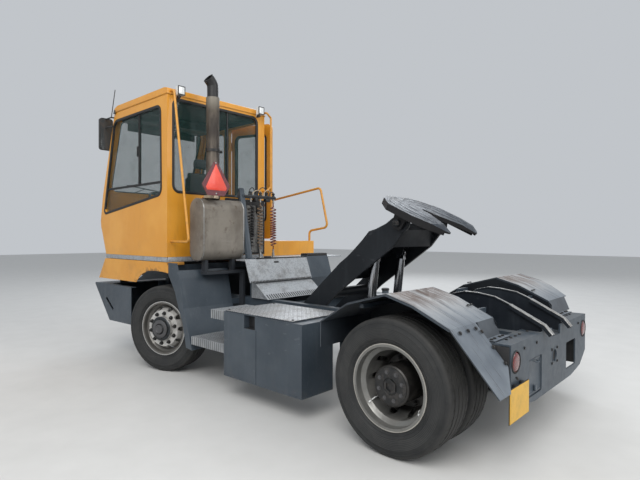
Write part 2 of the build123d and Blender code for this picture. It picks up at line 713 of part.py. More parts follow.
def fifth_wheel():
    seat_r = KINGPIN_SEAT_R
    half = [
        (PLATE_FRONT, 0), (PLATE_FRONT, 190), (PLATE_FRONT - 60, 310), (120, PLATE_HALF),
        (-130, PLATE_HALF), (-300, 390), (-PLATE_REAR + 20, HORN_OUT), (-PLATE_REAR, HORN_IN + 30),
        (-PLATE_REAR, HORN_IN), (-110, 60), (-60, seat_r), (0, seat_r),
    ]
    low = PLATE_TOP - PLATE_T
    side = top_plate(half + [(0, 0)], low, PLATE_TOP)
    plate = side + other_side(side)
    throat_half = [(-PLATE_REAR - 10, HORN_IN), (-110, 60), (-60, seat_r), (0, seat_r)]
    throat = top_plate(throat_half + [(u, -v) for u, v in throat_half[::-1]], low - 60, PLATE_TOP + 5)
    throat = throat + pin_z((0, 0), seat_r, low - 60, PLATE_TOP + 5)
    bevel = side_plate([(HORN_BEVEL_FROM, PLATE_TOP), (-PLATE_REAR - 5, PLATE_TOP - HORN_DROP),
                        (-PLATE_REAR - 5, PLATE_TOP + 5), (HORN_BEVEL_FROM, PLATE_TOP + 5)],
                       -PLATE_HALF - 5, PLATE_HALF + 5)
    plate = plate - throat - bevel
    lock = block((-70, 90), (-110, 110), (low - PLATE_RIB_DEEP, low + 2))
    plate = plate + (lock - throat)
    front_rim = block((PLATE_FRONT - PLATE_RIM_T, PLATE_FRONT), (-190, 190), (low - 40, low + 2))
    plate = plate + front_rim
    rim_line = half[1:7]
    under = [
        top_plate(rim_line + offset_line(rim_line, PLATE_RIM_T)[::-1], low - 22, low + 2),
        block((-380, 300), PLATE_RIB_Y, (low - PLATE_RIB_DEEP, low + 2)),
    ]
    for piece in under:
        plate = plate + piece + other_side(piece)
    ear = side_plate([(-70, low + 2), (-48, -40), (-20, -56), (20, -56), (48, -40), (70, low + 2)],
                     CHEEK_OUT + 10, CHEEK_OUT + 36)
    ear = ear - pin_y((0, 0), HEAD_PIN_R + 0.5, CHEEK_OUT, CHEEK_OUT + 50)
    return on_plate(plate + ear + other_side(ear))


def cylinder_line():
    dx = CYL_TOP_PIN[0] - CYL_LOW_PIN[0]
    dz = CYL_TOP_PIN[1] - CYL_LOW_PIN[1]
    lean = math.degrees(math.atan2(dx, dz))
    return math.hypot(dx, dz), lean


def along_cylinder(shape, y):
    """Stand a piece drawn upright at the origin on the lower pin, leaning along the cylinder."""
    return Pos(CYL_LOW_PIN[0], y, CYL_LOW_PIN[1]) * Rot(0, cylinder_line()[1], 0) * shape


def lift_barrel(y):
    eye = pin_y((0, 0), 46, -EYE_W / 2, EYE_W / 2) - pin_y((0, 0), CYL_PIN_R + 0.5, -60, 60)
    neck = block((-44, 44), (-EYE_W / 2, EYE_W / 2), (10, 54))
    tube = pin_z((0, 0), BARREL_R, 48, BARREL_LENGTH)
    gland = pin_z((0, 0), BARREL_R + 6, BARREL_LENGTH - 40, BARREL_LENGTH)
    bore = pin_z((0, 0), ROD_R + 1, 58, BARREL_LENGTH + 5)
    eye_clear = pin_y((0, 0), CYL_PIN_R + 0.5, -60, 60)
    return along_cylinder(eye + neck + tube + gland - bore - eye_clear, y)


def lift_rod(y):
    length = cylinder_line()[0]
    eye = pin_y((0, length), EYE_R, -EYE_W / 2, EYE_W / 2)
    neck = block((-ROD_R, ROD_R), (-EYE_W / 2, EYE_W / 2), (length - 74, length - 20))
    rod = pin_z((0, 0), ROD_R, length - ROD_LENGTH, length - 66)
    hole = pin_y((0, length), EYE_HOLE_R, -60, 60)
    return along_cylinder(eye + neck + rod - hole, y)


def cab_profile(inset=0, top=BROW[1], bottom=CAB_BOTTOM):
    """Side view of the cab: rear edge, brow, foot of the windscreen, nose, chin and foot."""
    face = [(x - inset, z) for x, z in [(BROW[0], top), SCREEN_FOOT, NOSE] + CHIN + [(FRONT_FOOT, bottom)]]
    return [(CAB_REAR + inset, bottom), (CAB_REAR + inset, top)] + face


LEFT_WINDOW = [(CAB_REAR + 1263, 2946), (CAB_REAR + 137, 2946), (CAB_REAR + 118, 1965),
               (CAB_REAR + 1563, 1785)]
REAR_WINDOW_Y = (CAB_RIGHT + 120, CAB_LEFT - 70)
REAR_WINDOW = [(REAR_WINDOW_Y[1], 3010), (REAR_WINDOW_Y[0], 3010), (REAR_WINDOW_Y[0], 1990),
               (REAR_WINDOW_Y[1], 1990)]
SCREEN_Y = (CAB_RIGHT + 90, CAB_LEFT - 90)
SCREEN = [(SCREEN_Y[1], 2985), (SCREEN_Y[0], 2985), (SCREEN_Y[0], 2085), (SCREEN_Y[1], 2085)]
RIGHT_WINDOW = [(CAB_REAR + 1243, 2946), (CAB_REAR + 813, 2946), (CAB_REAR + 813, 1900),
                (CAB_REAR + 1523, 1810)]
DOORWAY_X = (DOOR_REAR + 30, DOOR_HINGE[0] - 40)
DOORWAY = [(DOORWAY_X[1], 2970), (DOORWAY_X[0], 2970), (DOORWAY_X[0], 1515), (DOORWAY_X[1], 1515)]


def round_front(wall, outer_y):
    """Round the outer front edges of a side wall, from the brow to the foot."""
    edges = [edge for edge in wall.edges()
             if abs(edge.center().Y - outer_y) < 1 and edge.center().X > BROW[0]]
    return fillet(edges, FRONT_CORNER_R)


def cab_left_side():
    wall = round_front(side_plate(cab_profile(), CAB_LEFT - CAB_WALL, CAB_LEFT), CAB_LEFT)
    return wall - round_plate(LEFT_WINDOW, WINDOW_CORNER, CAB_LEFT - 100, CAB_LEFT + 10)


def cab_right_side():
    wall = round_front(side_plate(cab_profile(), CAB_RIGHT, CAB_RIGHT + CAB_WALL), CAB_RIGHT)
    wall = wall - round_plate(RIGHT_WINDOW, WINDOW_CORNER, CAB_RIGHT - 10, CAB_RIGHT + 100)
    wall = wall - round_plate(DOORWAY, 70, CAB_RIGHT - 10, CAB_RIGHT + 100)
    for z in HINGE_HEIGHTS:
        for step in (-1, 1):
            near = z + step * (HINGE_HALF + FIT)
            lug = block((DOOR_HINGE[0] - HINGE_R, DOOR_HINGE[0] + HINGE_R),
                        (DOOR_HINGE[1] - HINGE_R, CAB_RIGHT + 1), sorted((near, near + step * 18)))
            wall = wall + lug
    return wall


def between_walls():
    return (CAB_RIGHT + CAB_WALL, CAB_LEFT - CAB_WALL)


def cab_rear_wall():
    wall = block((CAB_REAR, CAB_REAR + CAB_WALL), between_walls(), (CAB_BOTTOM, BROW[1]))
    return wall - round_rear_plate(REAR_WINDOW, WINDOW_CORNER, CAB_REAR - 10, CAB_REAR + 100)


def cab_front():
    outer = cab_profile()[2:]
    inner = cab_profile(CAB_WALL)[2:]
    wall = side_plate(outer + inner[::-1], *between_walls())
    return wall - round_rear_plate(SCREEN, WINDOW_CORNER, BROW[0] - 100, NOSE[0] + 100)


def cab_floor():
    floor = block((CAB_REAR + 8, FRONT_FOOT - 6), (CAB_RIGHT + 8, CAB_LEFT - 8),
                  (CAB_BOTTOM - CAB_FLOOR_T, CAB_BOTTOM))
    x, z = TILT_PIVOT
    for y in TILT_Y:
        span = (y - TILT_LUG_HALF, y + TILT_LUG_HALF)
        lug = block((FRONT_FOOT - 20, x), span, (z - 15, z + 15)) + pin_y(TILT_PIVOT, TILT_LUG_R - 2, *span)
        floor = floor + (lug - pin_y(TILT_PIVOT, TILT_PIN_R + 0.5, *span))
    return floor


def cab_roof():
    brow, low = BROW
    line = [(CAB_REAR, low), (CAB_REAR, CAB_TOP - 14), (CAB_REAR + 60, CAB_TOP), (brow - 83, CAB_TOP),
            (brow - 6, CAB_TOP - 26), (brow, low)]
    roof = side_plate(line, CAB_RIGHT, CAB_LEFT)
    long_edges = roof.edges().filter_by(Axis.Y)
    roof = fillet(long_edges.sort_by(Axis.Z)[-4:], 12)
    return roof


def pane(shape_points, y_low, y_high):
    return round_plate(shape_points, WINDOW_CORNER - FIT, y_low, y_high)


def shrink(points, amount):
    cx = sum(p[0] for p in points) / len(points)
    cz = sum(p[1] for p in points) / len(points)
    return [(x - math.copysign(amount, x - cx), z - math.copysign(amount, z - cz)) for x, z in points]


def cab_glass():
    mid = CAB_WALL / 2
    left = pane(shrink(LEFT_WINDOW, FIT), CAB_LEFT - mid - GLASS_T / 2, CAB_LEFT - mid + GLASS_T / 2)
    right = pane(shrink(RIGHT_WINDOW, FIT), CAB_RIGHT + mid - GLASS_T / 2, CAB_RIGHT + mid + GLASS_T / 2)
    back = round_rear_plate(shrink(REAR_WINDOW, FIT), WINDOW_CORNER - FIT,
                            CAB_REAR + mid - GLASS_T / 2, CAB_REAR + mid + GLASS_T / 2)
    outer = cab_profile(mid - GLASS_T / 2)[2:4]
    inner = cab_profile(mid + GLASS_T / 2)[2:4]
    screen = side_plate(outer + inner[::-1], *between_walls())
    screen = screen & round_rear_plate(shrink(SCREEN, FIT), WINDOW_CORNER - FIT,
                                       BROW[0] - 100, NOSE[0] + 100)
    return [left, right, back, screen]


def ajar(shape):
    at = Pos(DOOR_HINGE[0], DOOR_HINGE[1], 0)
    return at * Rot(0, 0, DOOR_AJAR) * at.inverse() * shape


DOOR_WINDOW_X = (DOOR_REAR + 80, DOOR_HINGE[0] - 90)
DOOR_WINDOW = [(DOOR_WINDOW_X[1], 2880), (DOOR_WINDOW_X[0], 2880), (DOOR_WINDOW_X[0], 1700),
               (DOOR_WINDOW_X[1], 1700)]


def cab_door():
    y = (DOOR_HINGE[1] - DOOR_T / 2, DOOR_HINGE[1] + DOOR_T / 2)
    front = DOOR_HINGE[0] - DOOR_HINGE_GAP
    leaf = round_plate([(front, DOOR_TOP), (DOOR_REAR, DOOR_TOP), (DOOR_REAR, DOOR_BOTTOM),
                        (front, DOOR_BOTTOM)], 60, *y)
    leaf = leaf - round_plate(DOOR_WINDOW, WINDOW_CORNER - 20, y[0] - 10, y[1] + 10)
    for z in HINGE_HEIGHTS:
        span = (z - HINGE_HALF, z + HINGE_HALF)
        leaf = leaf + pin_z(DOOR_HINGE, HINGE_R, *span)
        leaf = leaf + block((front - 10, DOOR_HINGE[0]), (DOOR_HINGE[1] - 8, DOOR_HINGE[1] + 8), span)
    return ajar(leaf)


def door_glass():
    y = DOOR_HINGE[1]
    glass = round_plate(shrink(DOOR_WINDOW, FIT), WINDOW_CORNER - 20 - FIT, y - GLASS_T / 2, y + GLASS_T / 2)
    return ajar(glass)


def seat():
    y = SEAT_Y
    x = CAB_REAR + 213
    base = block((x + 50, x + 400), (y - 150, y + 150), (CAB_BOTTOM + FIT, 1620))
    cushion = block((x, x + 510), (y - 250, y + 250), (1618, 1740))
    back = bent_sheet([(x, 1740), (x - 70, 2280), (x - 60, 2420)], -110, y - 240, y + 240)
    return base + cushion + back


def dashboard():
    low = CAB_BOTTOM + FIT
    hidden = cab_profile(CAB_WALL + DASH_GAP, bottom=low)[4:]
    right, left = between_walls()
    panel = [(DASH_FACE - 60, 1780), (DASH_FACE - 20, 1850), (DASH_FACE + 310, 1830)]
    return side_plate([(DASH_FACE, low), (DASH_FACE, 1600)] + panel + hidden, right + FIT, left - FIT)


def steering_wheel():
    at = (DASH_FACE - 260, SEAT_Y, 1990)
    lean = Pos(*at) * Rot(0, -25, 0)
    rim = lean * Torus(225, 15)
    hub = lean * Cylinder(48, 40)
    spokes = [lean * Rot(0, 0, 120 * i) * Pos(115, 0, 0) * Box(230, 26, 12) for i in range(3)]
    column = lean * Pos(0, 0, -320) * Cylinder(32, 640)
    column = column - block((DASH_FACE - FIT, NOSE[0]), (SEAT_Y - 120, SEAT_Y + 120),
                            (CAB_BOTTOM, SCREEN_FOOT[1]))
    return rim + hub + spokes + column


def mirrors():
    made = []
    for side, wall in ((1, CAB_LEFT), (-1, CAB_RIGHT)):
        y = wall + side * MIRROR_OUT
        depth = (MIRROR_X - MIRROR_DEEP / 2, MIRROR_X + MIRROR_DEEP / 2)
        head = block(depth, (y - MIRROR_W / 2, y + MIRROR_W / 2), MIRROR_Z)
        head = fillet(head.edges().filter_by(Axis.X), 34)
        low = 2880
        for z in (low, 2990):
            head = head + bent_tube([(BROW[0] + 1, wall + side * FIT, z), (BROW[0] + 1, wall + side * 34, z),
                                     (MIRROR_X, wall + side * 34, z)], 9, 16)
        made.append(head)
    whip = Pos(BROW[0] + 1, CAB_LEFT + 34, 2990) * Rot(0, -18, 0) * Pos(0, 0, 170) * Cylinder(5, 340)
    made[0] = made[0] + whip
    return made


def grab_rails():
    y = CAB_LEFT - 50
    wall = CAB_REAR - FIT
    left = bent_tube([(wall, y, 3085), (CAB_REAR - 55, y, 3085), (CAB_REAR - 345, y, 1448), (wall, y, 1448)],
                     13, 40)
    inner = CAB_RIGHT + 20
    outer = CAB_RIGHT - 52
    out = CAB_REAR - 67
    right = bent_tube([(wall, inner, 3085), (out, inner, 3085), (out, outer, 3030), (out, outer, 2140),
                       (out, inner, 2085), (wall, inner, 2085)], 13, 20)
    return [left, right]


def work_lamps():
    made = []
    for y in (CAB_LEFT - 115, CAB_RIGHT + 135):
        head = block((CAB_REAR - 96, CAB_REAR - 46), (y - 42, y + 42), (3035, 3130))
        stem = block((CAB_REAR - 60, CAB_REAR - FIT), (y - 10, y + 10), (3020, 3045))
        made.append(head + stem)
    return made


def side_skirt(side):
    arch = [(419, SKIRT_BOTTOM + 3), (350, 1020), (270, 1068), (146, 1107), (-30, 1118), (-191, 1114),
            (-301, 1103)]
    outline = [(WHEELBASE - 301, SKIRT_TOP), (SKIRT_BROW, SKIRT_TOP), (SKIRT_NOSE, SKIRT_BOTTOM)]
    outline += [(WHEELBASE + x, z) for x, z in arch]
    return side_plate(outline, *sorted((side * (BODY_HALF - SHEET), side * BODY_HALF)))


def front_skirt():
    face = bent_sheet([(SKIRT_BROW, SKIRT_TOP), (SKIRT_NOSE, SKIRT_BOTTOM)], -SHEET, -BODY_HALF, BODY_HALF)
    openings = [
        # y from, y to, z from, z to
        (*GRILLE_Y, 1000, 1180),
        (*HEADLAMP_Y[0], 1010, 1170),
        (*HEADLAMP_Y[1], 1010, 1170),
    ]
    body = face + side_skirt(1) + side_skirt(-1)
    for y_low, y_high, z_low, z_high in openings:
        body = body - block((SKIRT_BROW - 100, SKIRT_NOSE + 60), (y_low, y_high), (z_low, z_high))
    for y in TILT_Y:
        body = body - block((SKIRT_BROW - 30, SKIRT_BROW + 60), (y - 46, y + 46),
                            (SKIRT_TOP - 32, SKIRT_TOP + 5))
    return body


def front_grille():
    bars = []
    frame_y = (GRILLE_Y[0] + FIT, GRILLE_Y[1] - FIT)
    slope = (SKIRT_BROW - SKIRT_NOSE) / (SKIRT_TOP - SKIRT_BOTTOM)
    for i in range(6):
        z = 1014 + i * 30.4
        x = SKIRT_NOSE + (z - SKIRT_BOTTOM) * slope
        bars.append(block((x - 34, x - 14), frame_y, (z - 6, z + 6)))
    post_line = [(SKIRT_NOSE - 40, 1004), (SKIRT_BROW + 8, 1176)]
    posts = [bent_sheet([(x - 16, z) for x, z in post_line], 16, y - 8, y + 8) 
             for y in (GRILLE_Y[0] + 10, (GRILLE_Y[0] + GRILLE_Y[1]) / 2, GRILLE_Y[1] - 10)]
    body = posts[0]
    for piece in posts[1:] + bars:
        body = body + piece
    return body


def headlamps():
    made = []
    for y_low, y_high in HEADLAMP_Y:
        line = [(SKIRT_NOSE - 62, 1012), (SKIRT_NOSE - 36, 1012), (SKIRT_BROW + 34, 1168),
                (SKIRT_BROW + 8, 1168)]
        made.append(side_plate(line, y_low + FIT, y_high - FIT))
    return made


def front_bumper():
    top = BUMPER_TOP
    outer = [(BUMPER_REAR, 442), (BUMPER_REAR, top), (FRONT_END - 14, top), (FRONT_END, top - 15),
             BUMPER_FOOT]
    t = BUMPER_T
    shell = side_plate(outer, -BODY_HALF, BODY_HALF)
    inner = [(BUMPER_REAR - 5, 400), (BUMPER_REAR - 5, top - t), (FRONT_END - 26, top - t),
             (BUMPER_FOOT[0] - 14, BUMPER_FOOT[1]), (BUMPER_FOOT[0] - 60, 400)]
    shell = shell - side_plate(inner, -BODY_HALF + t, BODY_HALF - t)
    x = BUMPER_FOOT[0]
    slot = side_plate([(x + 111, 700), (x + 83, 726), (x - 111, 592), (x - 83, 566)],
                      -BODY_HALF - 5, BODY_HALF + 5)
    shell = shell - slot
    shell = shell - block((BUMPER_REAR - 5, RAIL_FRONT + 30), (-BODY_HALF + 70, BODY_HALF - 70),
                          (top - 40, top + 5))
    bracket = block((RAIL_FRONT + FIT, RAIL_FRONT + 14), (-500, 500), (RAIL_BOTTOM + 20, top - t + 2))
    shelf = block((RAIL_FRONT + FIT, RAIL_FRONT + 40), (-500, 500), (top - t, top))
    tabs = [block((FRONT_END - 220, FRONT_END - 208), (y - 60, y + 60), (top - 2, SKIRT_BOTTOM - FIT))
            for y in (300 - BODY_HALF, BODY_HALF - 300)]
    body = shell + bracket + shelf
    for tab in tabs:
        body = body + tab
    return body


def front_mudguards():
    made = []
    x = WHEELBASE
    arch = [(x - 307, 1093), (x - 438, 918), (x - 505, 761), (x - 590, 600), (x - 654, 358)]
    fold = [(x - 478, 1219), (x - 528, 1061), (x - 605, 753), (x - 720, 470), (x - 760, 345)]
    for side in (1, -1):
        outline = [(x - 307, 1219)] + arch + fold[::-1]
        flange = side_plate(outline, *sorted((side * (BODY_HALF - SHEET), side * BODY_HALF)))
        line = [(x - 501, 1145)] + fold[1:]
        back = bent_sheet(line, SHEET, *sorted((side * 570, side * BODY_HALF)))
        crown = bent_sheet([(x + 410, 985), (x + 140, 1112), (x - 190, 1120), (x - 300, 1100)], -4,
                           *sorted((side * 640, side * (BODY_HALF - SHEET - FIT))))
        stay = block((x - 590, x - 550), sorted((side * (RAIL_OUTER + FIT), side * 640)), (740, 800))
        made.append(flange + back + stay)
        made.append(crown)
    return made


def engine_block():
    return block((WHEELBASE - 150, WHEELBASE + 900), (-330, 330), (600, 1180))


def propshaft():
    start = Vector(304 + FIT, 0, AXLE_Z + 10)
    end = Vector(WHEELBASE - 154 - FIT, 0, 620)
    axis = end - start
    plane = Plane(origin=start, z_dir=axis)
    shaft = plane * Pos(0, 0, axis.length / 2) * Cylinder(42, axis.length)
    flange = plane * Pos(0, 0, 20) * Cylinder(75, 40)
    far = plane * Pos(0, 0, axis.length - 20) * Cylinder(75, 40)
    return shaft + flange + far


def engine_hood():
    outer = [(HOOD_REAR, SKIRT_TOP + FIT), (HOOD_REAR, HOOD_TOP), (SKIRT_BROW - 334, HOOD_TOP),
             (SKIRT_BROW - 94, 1380), (SKIRT_BROW - 4, SKIRT_TOP + FIT)]
    body = side_plate(outer, -BODY_HALF, HOOD_LEFT)
    inner = [(HOOD_REAR + SHEET, SKIRT_TOP - 5), (HOOD_REAR + SHEET, HOOD_TOP - SHEET),
             (SKIRT_BROW - 336, HOOD_TOP - SHEET), (SKIRT_BROW - 102, 1374),
             (SKIRT_BROW - 14, SKIRT_TOP - 5)]
    return body - side_plate(inner, -BODY_HALF + SHEET, HOOD_LEFT - SHEET)


def hood_handrail():
    y = -BODY_HALF + 30
    x = HOOD_REAR
    rail = bent_tube([(x + 60, y, HOOD_TOP + FIT), (x + 60, y, 1590), (x - 297, y, 1640), (x - 155, y, 2205),
                      (x + 882, y, 2071), (x + 1085, y, 2000), (x + 1085, y, HOOD_TOP + FIT)], 16, 60)
    return rail


def walkway():
    deck_low = DECK_TOP - PLATFORM_T
    back = CAB_REAR - 8
    deck = top_plate([(DECK_REAR, PLATES_LEFT), (SILENCER_AT[0] - SILENCER_HALF[0] - 13, PLATES_LEFT),
                      (SILENCER_AT[0] - SILENCER_HALF[0] - 13, 440), (back, 440), (back, CAB_RIGHT - 8),
                      (HOOD_REAR - FIT, CAB_RIGHT - 8), (HOOD_REAR - FIT, 10 - BODY_HALF),
                      (DECK_REAR + 120, 10 - BODY_HALF), (DECK_REAR + 120, PLATES_RIGHT),
                      (DECK_REAR, PLATES_RIGHT)], deck_low, DECK_TOP)
    x = DECK_REAR
    upper = bent_sheet([(x, DECK_TOP), (x - 88, 1000)], SHEET, PLATES_RIGHT, PLATES_LEFT)
    lower = bent_sheet([(x - 50, 1006), (x - 280, RAIL_TOP + SHEET)], SHEET, PLATES_RIGHT, 500)
    web = [(x, deck_low), (x + 30, deck_low), (x + 30, RAIL_TOP + FIT), (x - 272, RAIL_TOP + FIT),
           (x - 50, 1000), (x - 84, 1000)]
    left = side_plate(web, 462, 462 + SHEET)
    right = side_plate(web, PLATES_RIGHT, PLATES_RIGHT + SHEET)
    return deck + upper + lower + left + right


def step_box():
    x = DECK_REAR
    return side_plate([(x, DECK_TOP + 18), (x + 112, DECK_TOP + 18), (x + 112, 1000), (x - 88, 1000)],
                      -765, PLATES_RIGHT - FIT)


def side_steps():
    upper = block((BOX_FRONT + FIT, BOX_FRONT + 210), (760, BODY_HALF), (714, BOX_TOP))
    lower = block((BOX_FRONT + FIT, BOX_FRONT + 550), (800, BODY_HALF), (407, 488))
    made = []
    for step in (upper, lower):
        low = step.bounding_box().min
        high = step.bounding_box().max
        inside = block((low.X + 6, high.X - 6), (low.Y + 6, high.Y - 6), (low.Z - 5, high.Z - 14))
        made.append(step - inside)
    return made


def tool_box():
    body = block((BOX_REAR, BOX_FRONT), (BOX_INNER, BODY_HALF), (BOX_BOTTOM, BOX_TOP))
    notch = block((BOX_FRONT - 450, BOX_FRONT - 300), (BODY_HALF - 60, BODY_HALF + 5), (680, BOX_TOP + 5))
    seam = block((BOX_FRONT - 468, BOX_FRONT - 462), (BODY_HALF - 6, BODY_HALF + 5), (BOX_BOTTOM - 5, 680))
    lid = block((BOX_REAR + 117, BOX_FRONT - 10), (560, BODY_HALF - 12), (BOX_TOP - 2, BOX_TOP + 12))
    return body - notch - seam + lid


def fuel_tank():
    tank = block((BOX_REAR + 20, BOX_FRONT - 100), (-BODY_HALF, -BOX_INNER), (300, BOX_TOP))
    tank = fillet(tank.edges().filter_by(Axis.X), TANK_R)
    neck = pin_z((BOX_FRONT - 250, 120 - BODY_HALF), 42, BOX_TOP - 20, BOX_TOP + 40)
    return tank + neck


def rear_mudguards():
    """Folded guards. The left one has a tail flap beside the rear plate, the right one stops at its foot."""
    full = [(588, 672), (588, 867), (327, 1028), (-6, 1120), (-215, 1062), (-479, 939)]
    fold = full[-1]
    foot_x = -528
    rest = RAIL_TOP + FIT
    t = SHEET
    guards = []
    for side in (1, -1):
        body = bent_sheet(full, t, *sorted((side * 600, side * GUARD_OUT)))
        near_lamp = sorted((side * 600, side * (CROSS_HALF - 10)))
        foot = bent_sheet([fold, (foot_x, rest + t)], t, *near_lamp)
        shelf = block((foot_x - 72, foot_x + 12), near_lamp, (rest, rest + t))
        guards.append(body + foot + shelf)
    flap = bent_sheet([fold, (-REAR_OVERHANG, 580)], t, CROSS_HALF + 15, GUARD_OUT)
    beyond = -REAR_OVERHANG - 20
    corner = top_plate([(-690, CROSS_HALF), (beyond, CROSS_HALF), (beyond, GUARD_OUT - 120)], 500, 800)
    guards[0] = guards[0] + (flap - corner)
    side_flap = bent_sheet([fold, (foot_x, rest)], t, 20 - CROSS_HALF - 210, 12 - CROSS_HALF)
    outer_corner = top_plate([(-300, -GUARD_OUT - 5), (-490, -1118), (-490, -GUARD_OUT - 5)], 900, 1120)
    guards[1] = (guards[1] - outer_corner) + side_flap
    return guards


def tail_lamps():
    far = REAR_FACE + REAR_PLATE_T + TAIL_LAMP_DEEP
    return [pin_x((y, TAIL_LAMP_Z), TAIL_LAMP_R - FIT, REAR_FACE + 4, far) for y in (TAIL_LAMP_Y, -TAIL_LAMP_Y)]


def silencer_shell(grow=0):
    """The flat oval can, or the same shape grown for cutting its neighbours."""
    corner = (SILENCER_AT[0], SILENCER_Y[0] - grow, SILENCER_AT[1])
    start = Plane(origin=corner, x_dir=(1, 0, 0), z_dir=(0, 1, 0))
    half_x, half_z = [half + grow for half in SILENCER_HALF]
    section = start * RectangleRounded(2 * half_x, 2 * half_z, SILENCER_ROUND + grow)
    return extrude(section, amount=SILENCER_Y[1] - SILENCER_Y[0] + 2 * grow, dir=(0, 1, 0))


def silencer():
    x = SILENCER_AT[0]
    can_foot = SILENCER_AT[1] - SILENCER_HALF[1] + 8
    legs = [block((x - 60, x + 5), (y - 20, y + 20), (1120, can_foot)) for y in (560, 920)]
    beam = block((x - 120, x + 5), (RAIL_OUTER + FIT, 950), (1095, 1125))
    post = block((x - 120, x - 50), (RAIL_OUTER + FIT, RAIL_OUTER + 30), (RAIL_BOTTOM + 60, 1125))
    return silencer_shell() + legs + beam + post


def exhaust_stack():
    x, y = STACK_AT
    shoulder = SILENCER_AT[1] + SILENCER_HALF[1]
    foot = shoulder - 20
    pipe = pin_z((x, y), STACK_R, foot, 3030)
    band = pin_z((x, y), STACK_R + 9, 2435, 2462)
    collar = pin_z((x, y), STACK_R + 7, foot, shoulder + 40)
    bore = pin_z((x, y), STACK_R - 6, shoulder + 90, 3040)
    tip = bent_tube([(x, y, 3000), (x, y, 3110), (x, y + 55, 3240)], STACK_R - 5, 120)
    tip_bore = bent_tube([(x, y, 2999), (x, y, 3110), (x, y + 55.4, 3241)], STACK_R - 14, 120)
    body = pipe + band + collar - bore
    return body + (tip - tip_bore) - silencer_shell(FIT)


def warning_triangle():
    x = SILENCER_AT[0] - 230
    outline = [(905, 2290), (940, 2290), (1090, 2046), (1020, 1935), (810, 1935), (735, 2046)]
    plate = rear_plate(outline, x, x + 14)
    top = SILENCER_AT[1] + SILENCER_HALF[1] + FIT
    stem = block((x + 10, x + 22), (890, 930), (top, 2050))
    bracket = block((x + 10, SILENCER_AT[0]), (880, 940), (top, top + 12))
    return plate + stem + bracket - silencer_shell(FIT)


def hose_post():
    """A slanting post beside the silencer that carries the header bar of the hoses."""
    low = Vector(HEADER_X - 181, 440, DECK_TOP + FIT)
    high = Vector(HEADER_X + 30, 382, 2064)
    section = Pos(low.X, low.Y, low.Z) * Rectangle(30, 44)
    run = high - low
    post = extrude(section, amount=run.length, dir=run)
    foot = block((HEADER_X - 240, HEADER_X - 140), (low.Y - 60, low.Y + 14), (low.Z, low.Z + 12))
    bar = block((HEADER_X - 20, HEADER_X + 20), (-130, high.Y), (HEADER_LOW, HEADER_LOW + 34))
    gusset = rear_plate([(high.Y, high.Z - 4), (high.Y + 100, HEADER_LOW), (high.Y, HEADER_LOW)],
                        HEADER_X + 8, HEADER_X + 16)
    return post + foot + bar + gusset


COILS = [
    # name, y, radius
    ("coil_black", 254, 40),
    ("coil_brown", 106, 40),
    ("coil_red", -105, 42),
]


def air_coil(y, radius):
    return pin_z((HEADER_X, y), radius, 1310, HEADER_LOW - FIT)


def main():
    write("chassis_frame", frame())
    write("rear_crossmember", rear_crossmember())
    write("trailer_ramps", trailer_ramps())
    write("front_axle", front_axle())
    write("rear_axle", rear_axle())
    write("engine_block", engine_block())
    write("propshaft", propshaft())
    write("front_bumper", front_bumper())
    write("front_skirt", front_skirt())
    write("front_grille", front_grille())
    write("headlamps", headlamps())
    write("front_mudguards", front_mudguards())
    write("engine_hood", engine_hood())
    write("hood_handrail", hood_handrail())
    write("walkway", walkway())
    write("step_box", step_box())
    write("side_steps", side_steps())
    write("tool_box", tool_box())
    write("fuel_tank", fuel_tank())
    write("rear_mudguards", rear_mudguards())
    write("tail_lamps", tail_lamps())
    write("silencer", silencer())
    write("exhaust_stack", exhaust_stack())
    write("warning_triangle", warning_triangle())
    write("hose_post", hose_post())
    for name, y, radius in COILS:
        write(name, air_coil(y, radius))
    write("cab_floor", cab_floor())
    write("cab_left_side", cab_left_side())
    write("cab_right_side", cab_right_side())
    write("cab_rear_wall", cab_rear_wall())
    write("cab_front", cab_front())
    write("cab_roof", cab_roof())
    write("cab_glass", cab_glass())
    write("seat", seat())
    write("dashboard", dashboard())
    write("steering_wheel", steering_wheel())
    write("mirrors", mirrors())
    write("grab_rails", grab_rails())
    write("work_lamps", work_lamps())
    write("cab_door", cab_door())
    write("door_glass", door_glass())
    write("boom", boom())
    write("fifth_wheel", fifth_wheel())
    write("lift_barrels", [lift_barrel(y) for y in (CYL_Y, -CYL_Y)])
    write("lift_rods", [lift_rod(y) for y in (CYL_Y, -CYL_Y)])
    write("tie_rod", tie_rod())
    for side, word in ((1, "left"), (-1, "right")):
        write(f"knuckle_{word}", knuckle(side))
        write(f"front_tyre_{word}", front_tyre(side))
        write(f"front_rim_{word}", front_rim(side))
        write(f"rear_tyres_{word}", rear_tyres(side))
        write(f"rear_rims_{word}", rear_rims(side))


main()
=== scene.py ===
# %% [markdown]
# # A terminal tractor, dressed for its portrait
# A yard tractor pulls trailers round a port. The engineering model already holds its pieces at their
# real places, so this lesson only adds what an engineer leaves out: paint, rubber, glass, wear and the
# small parts. Everything is in metres, X runs forward, Y to the left and Z up.

# %% Load the frame
import math

import bpy
from mathutils import Matrix, Vector


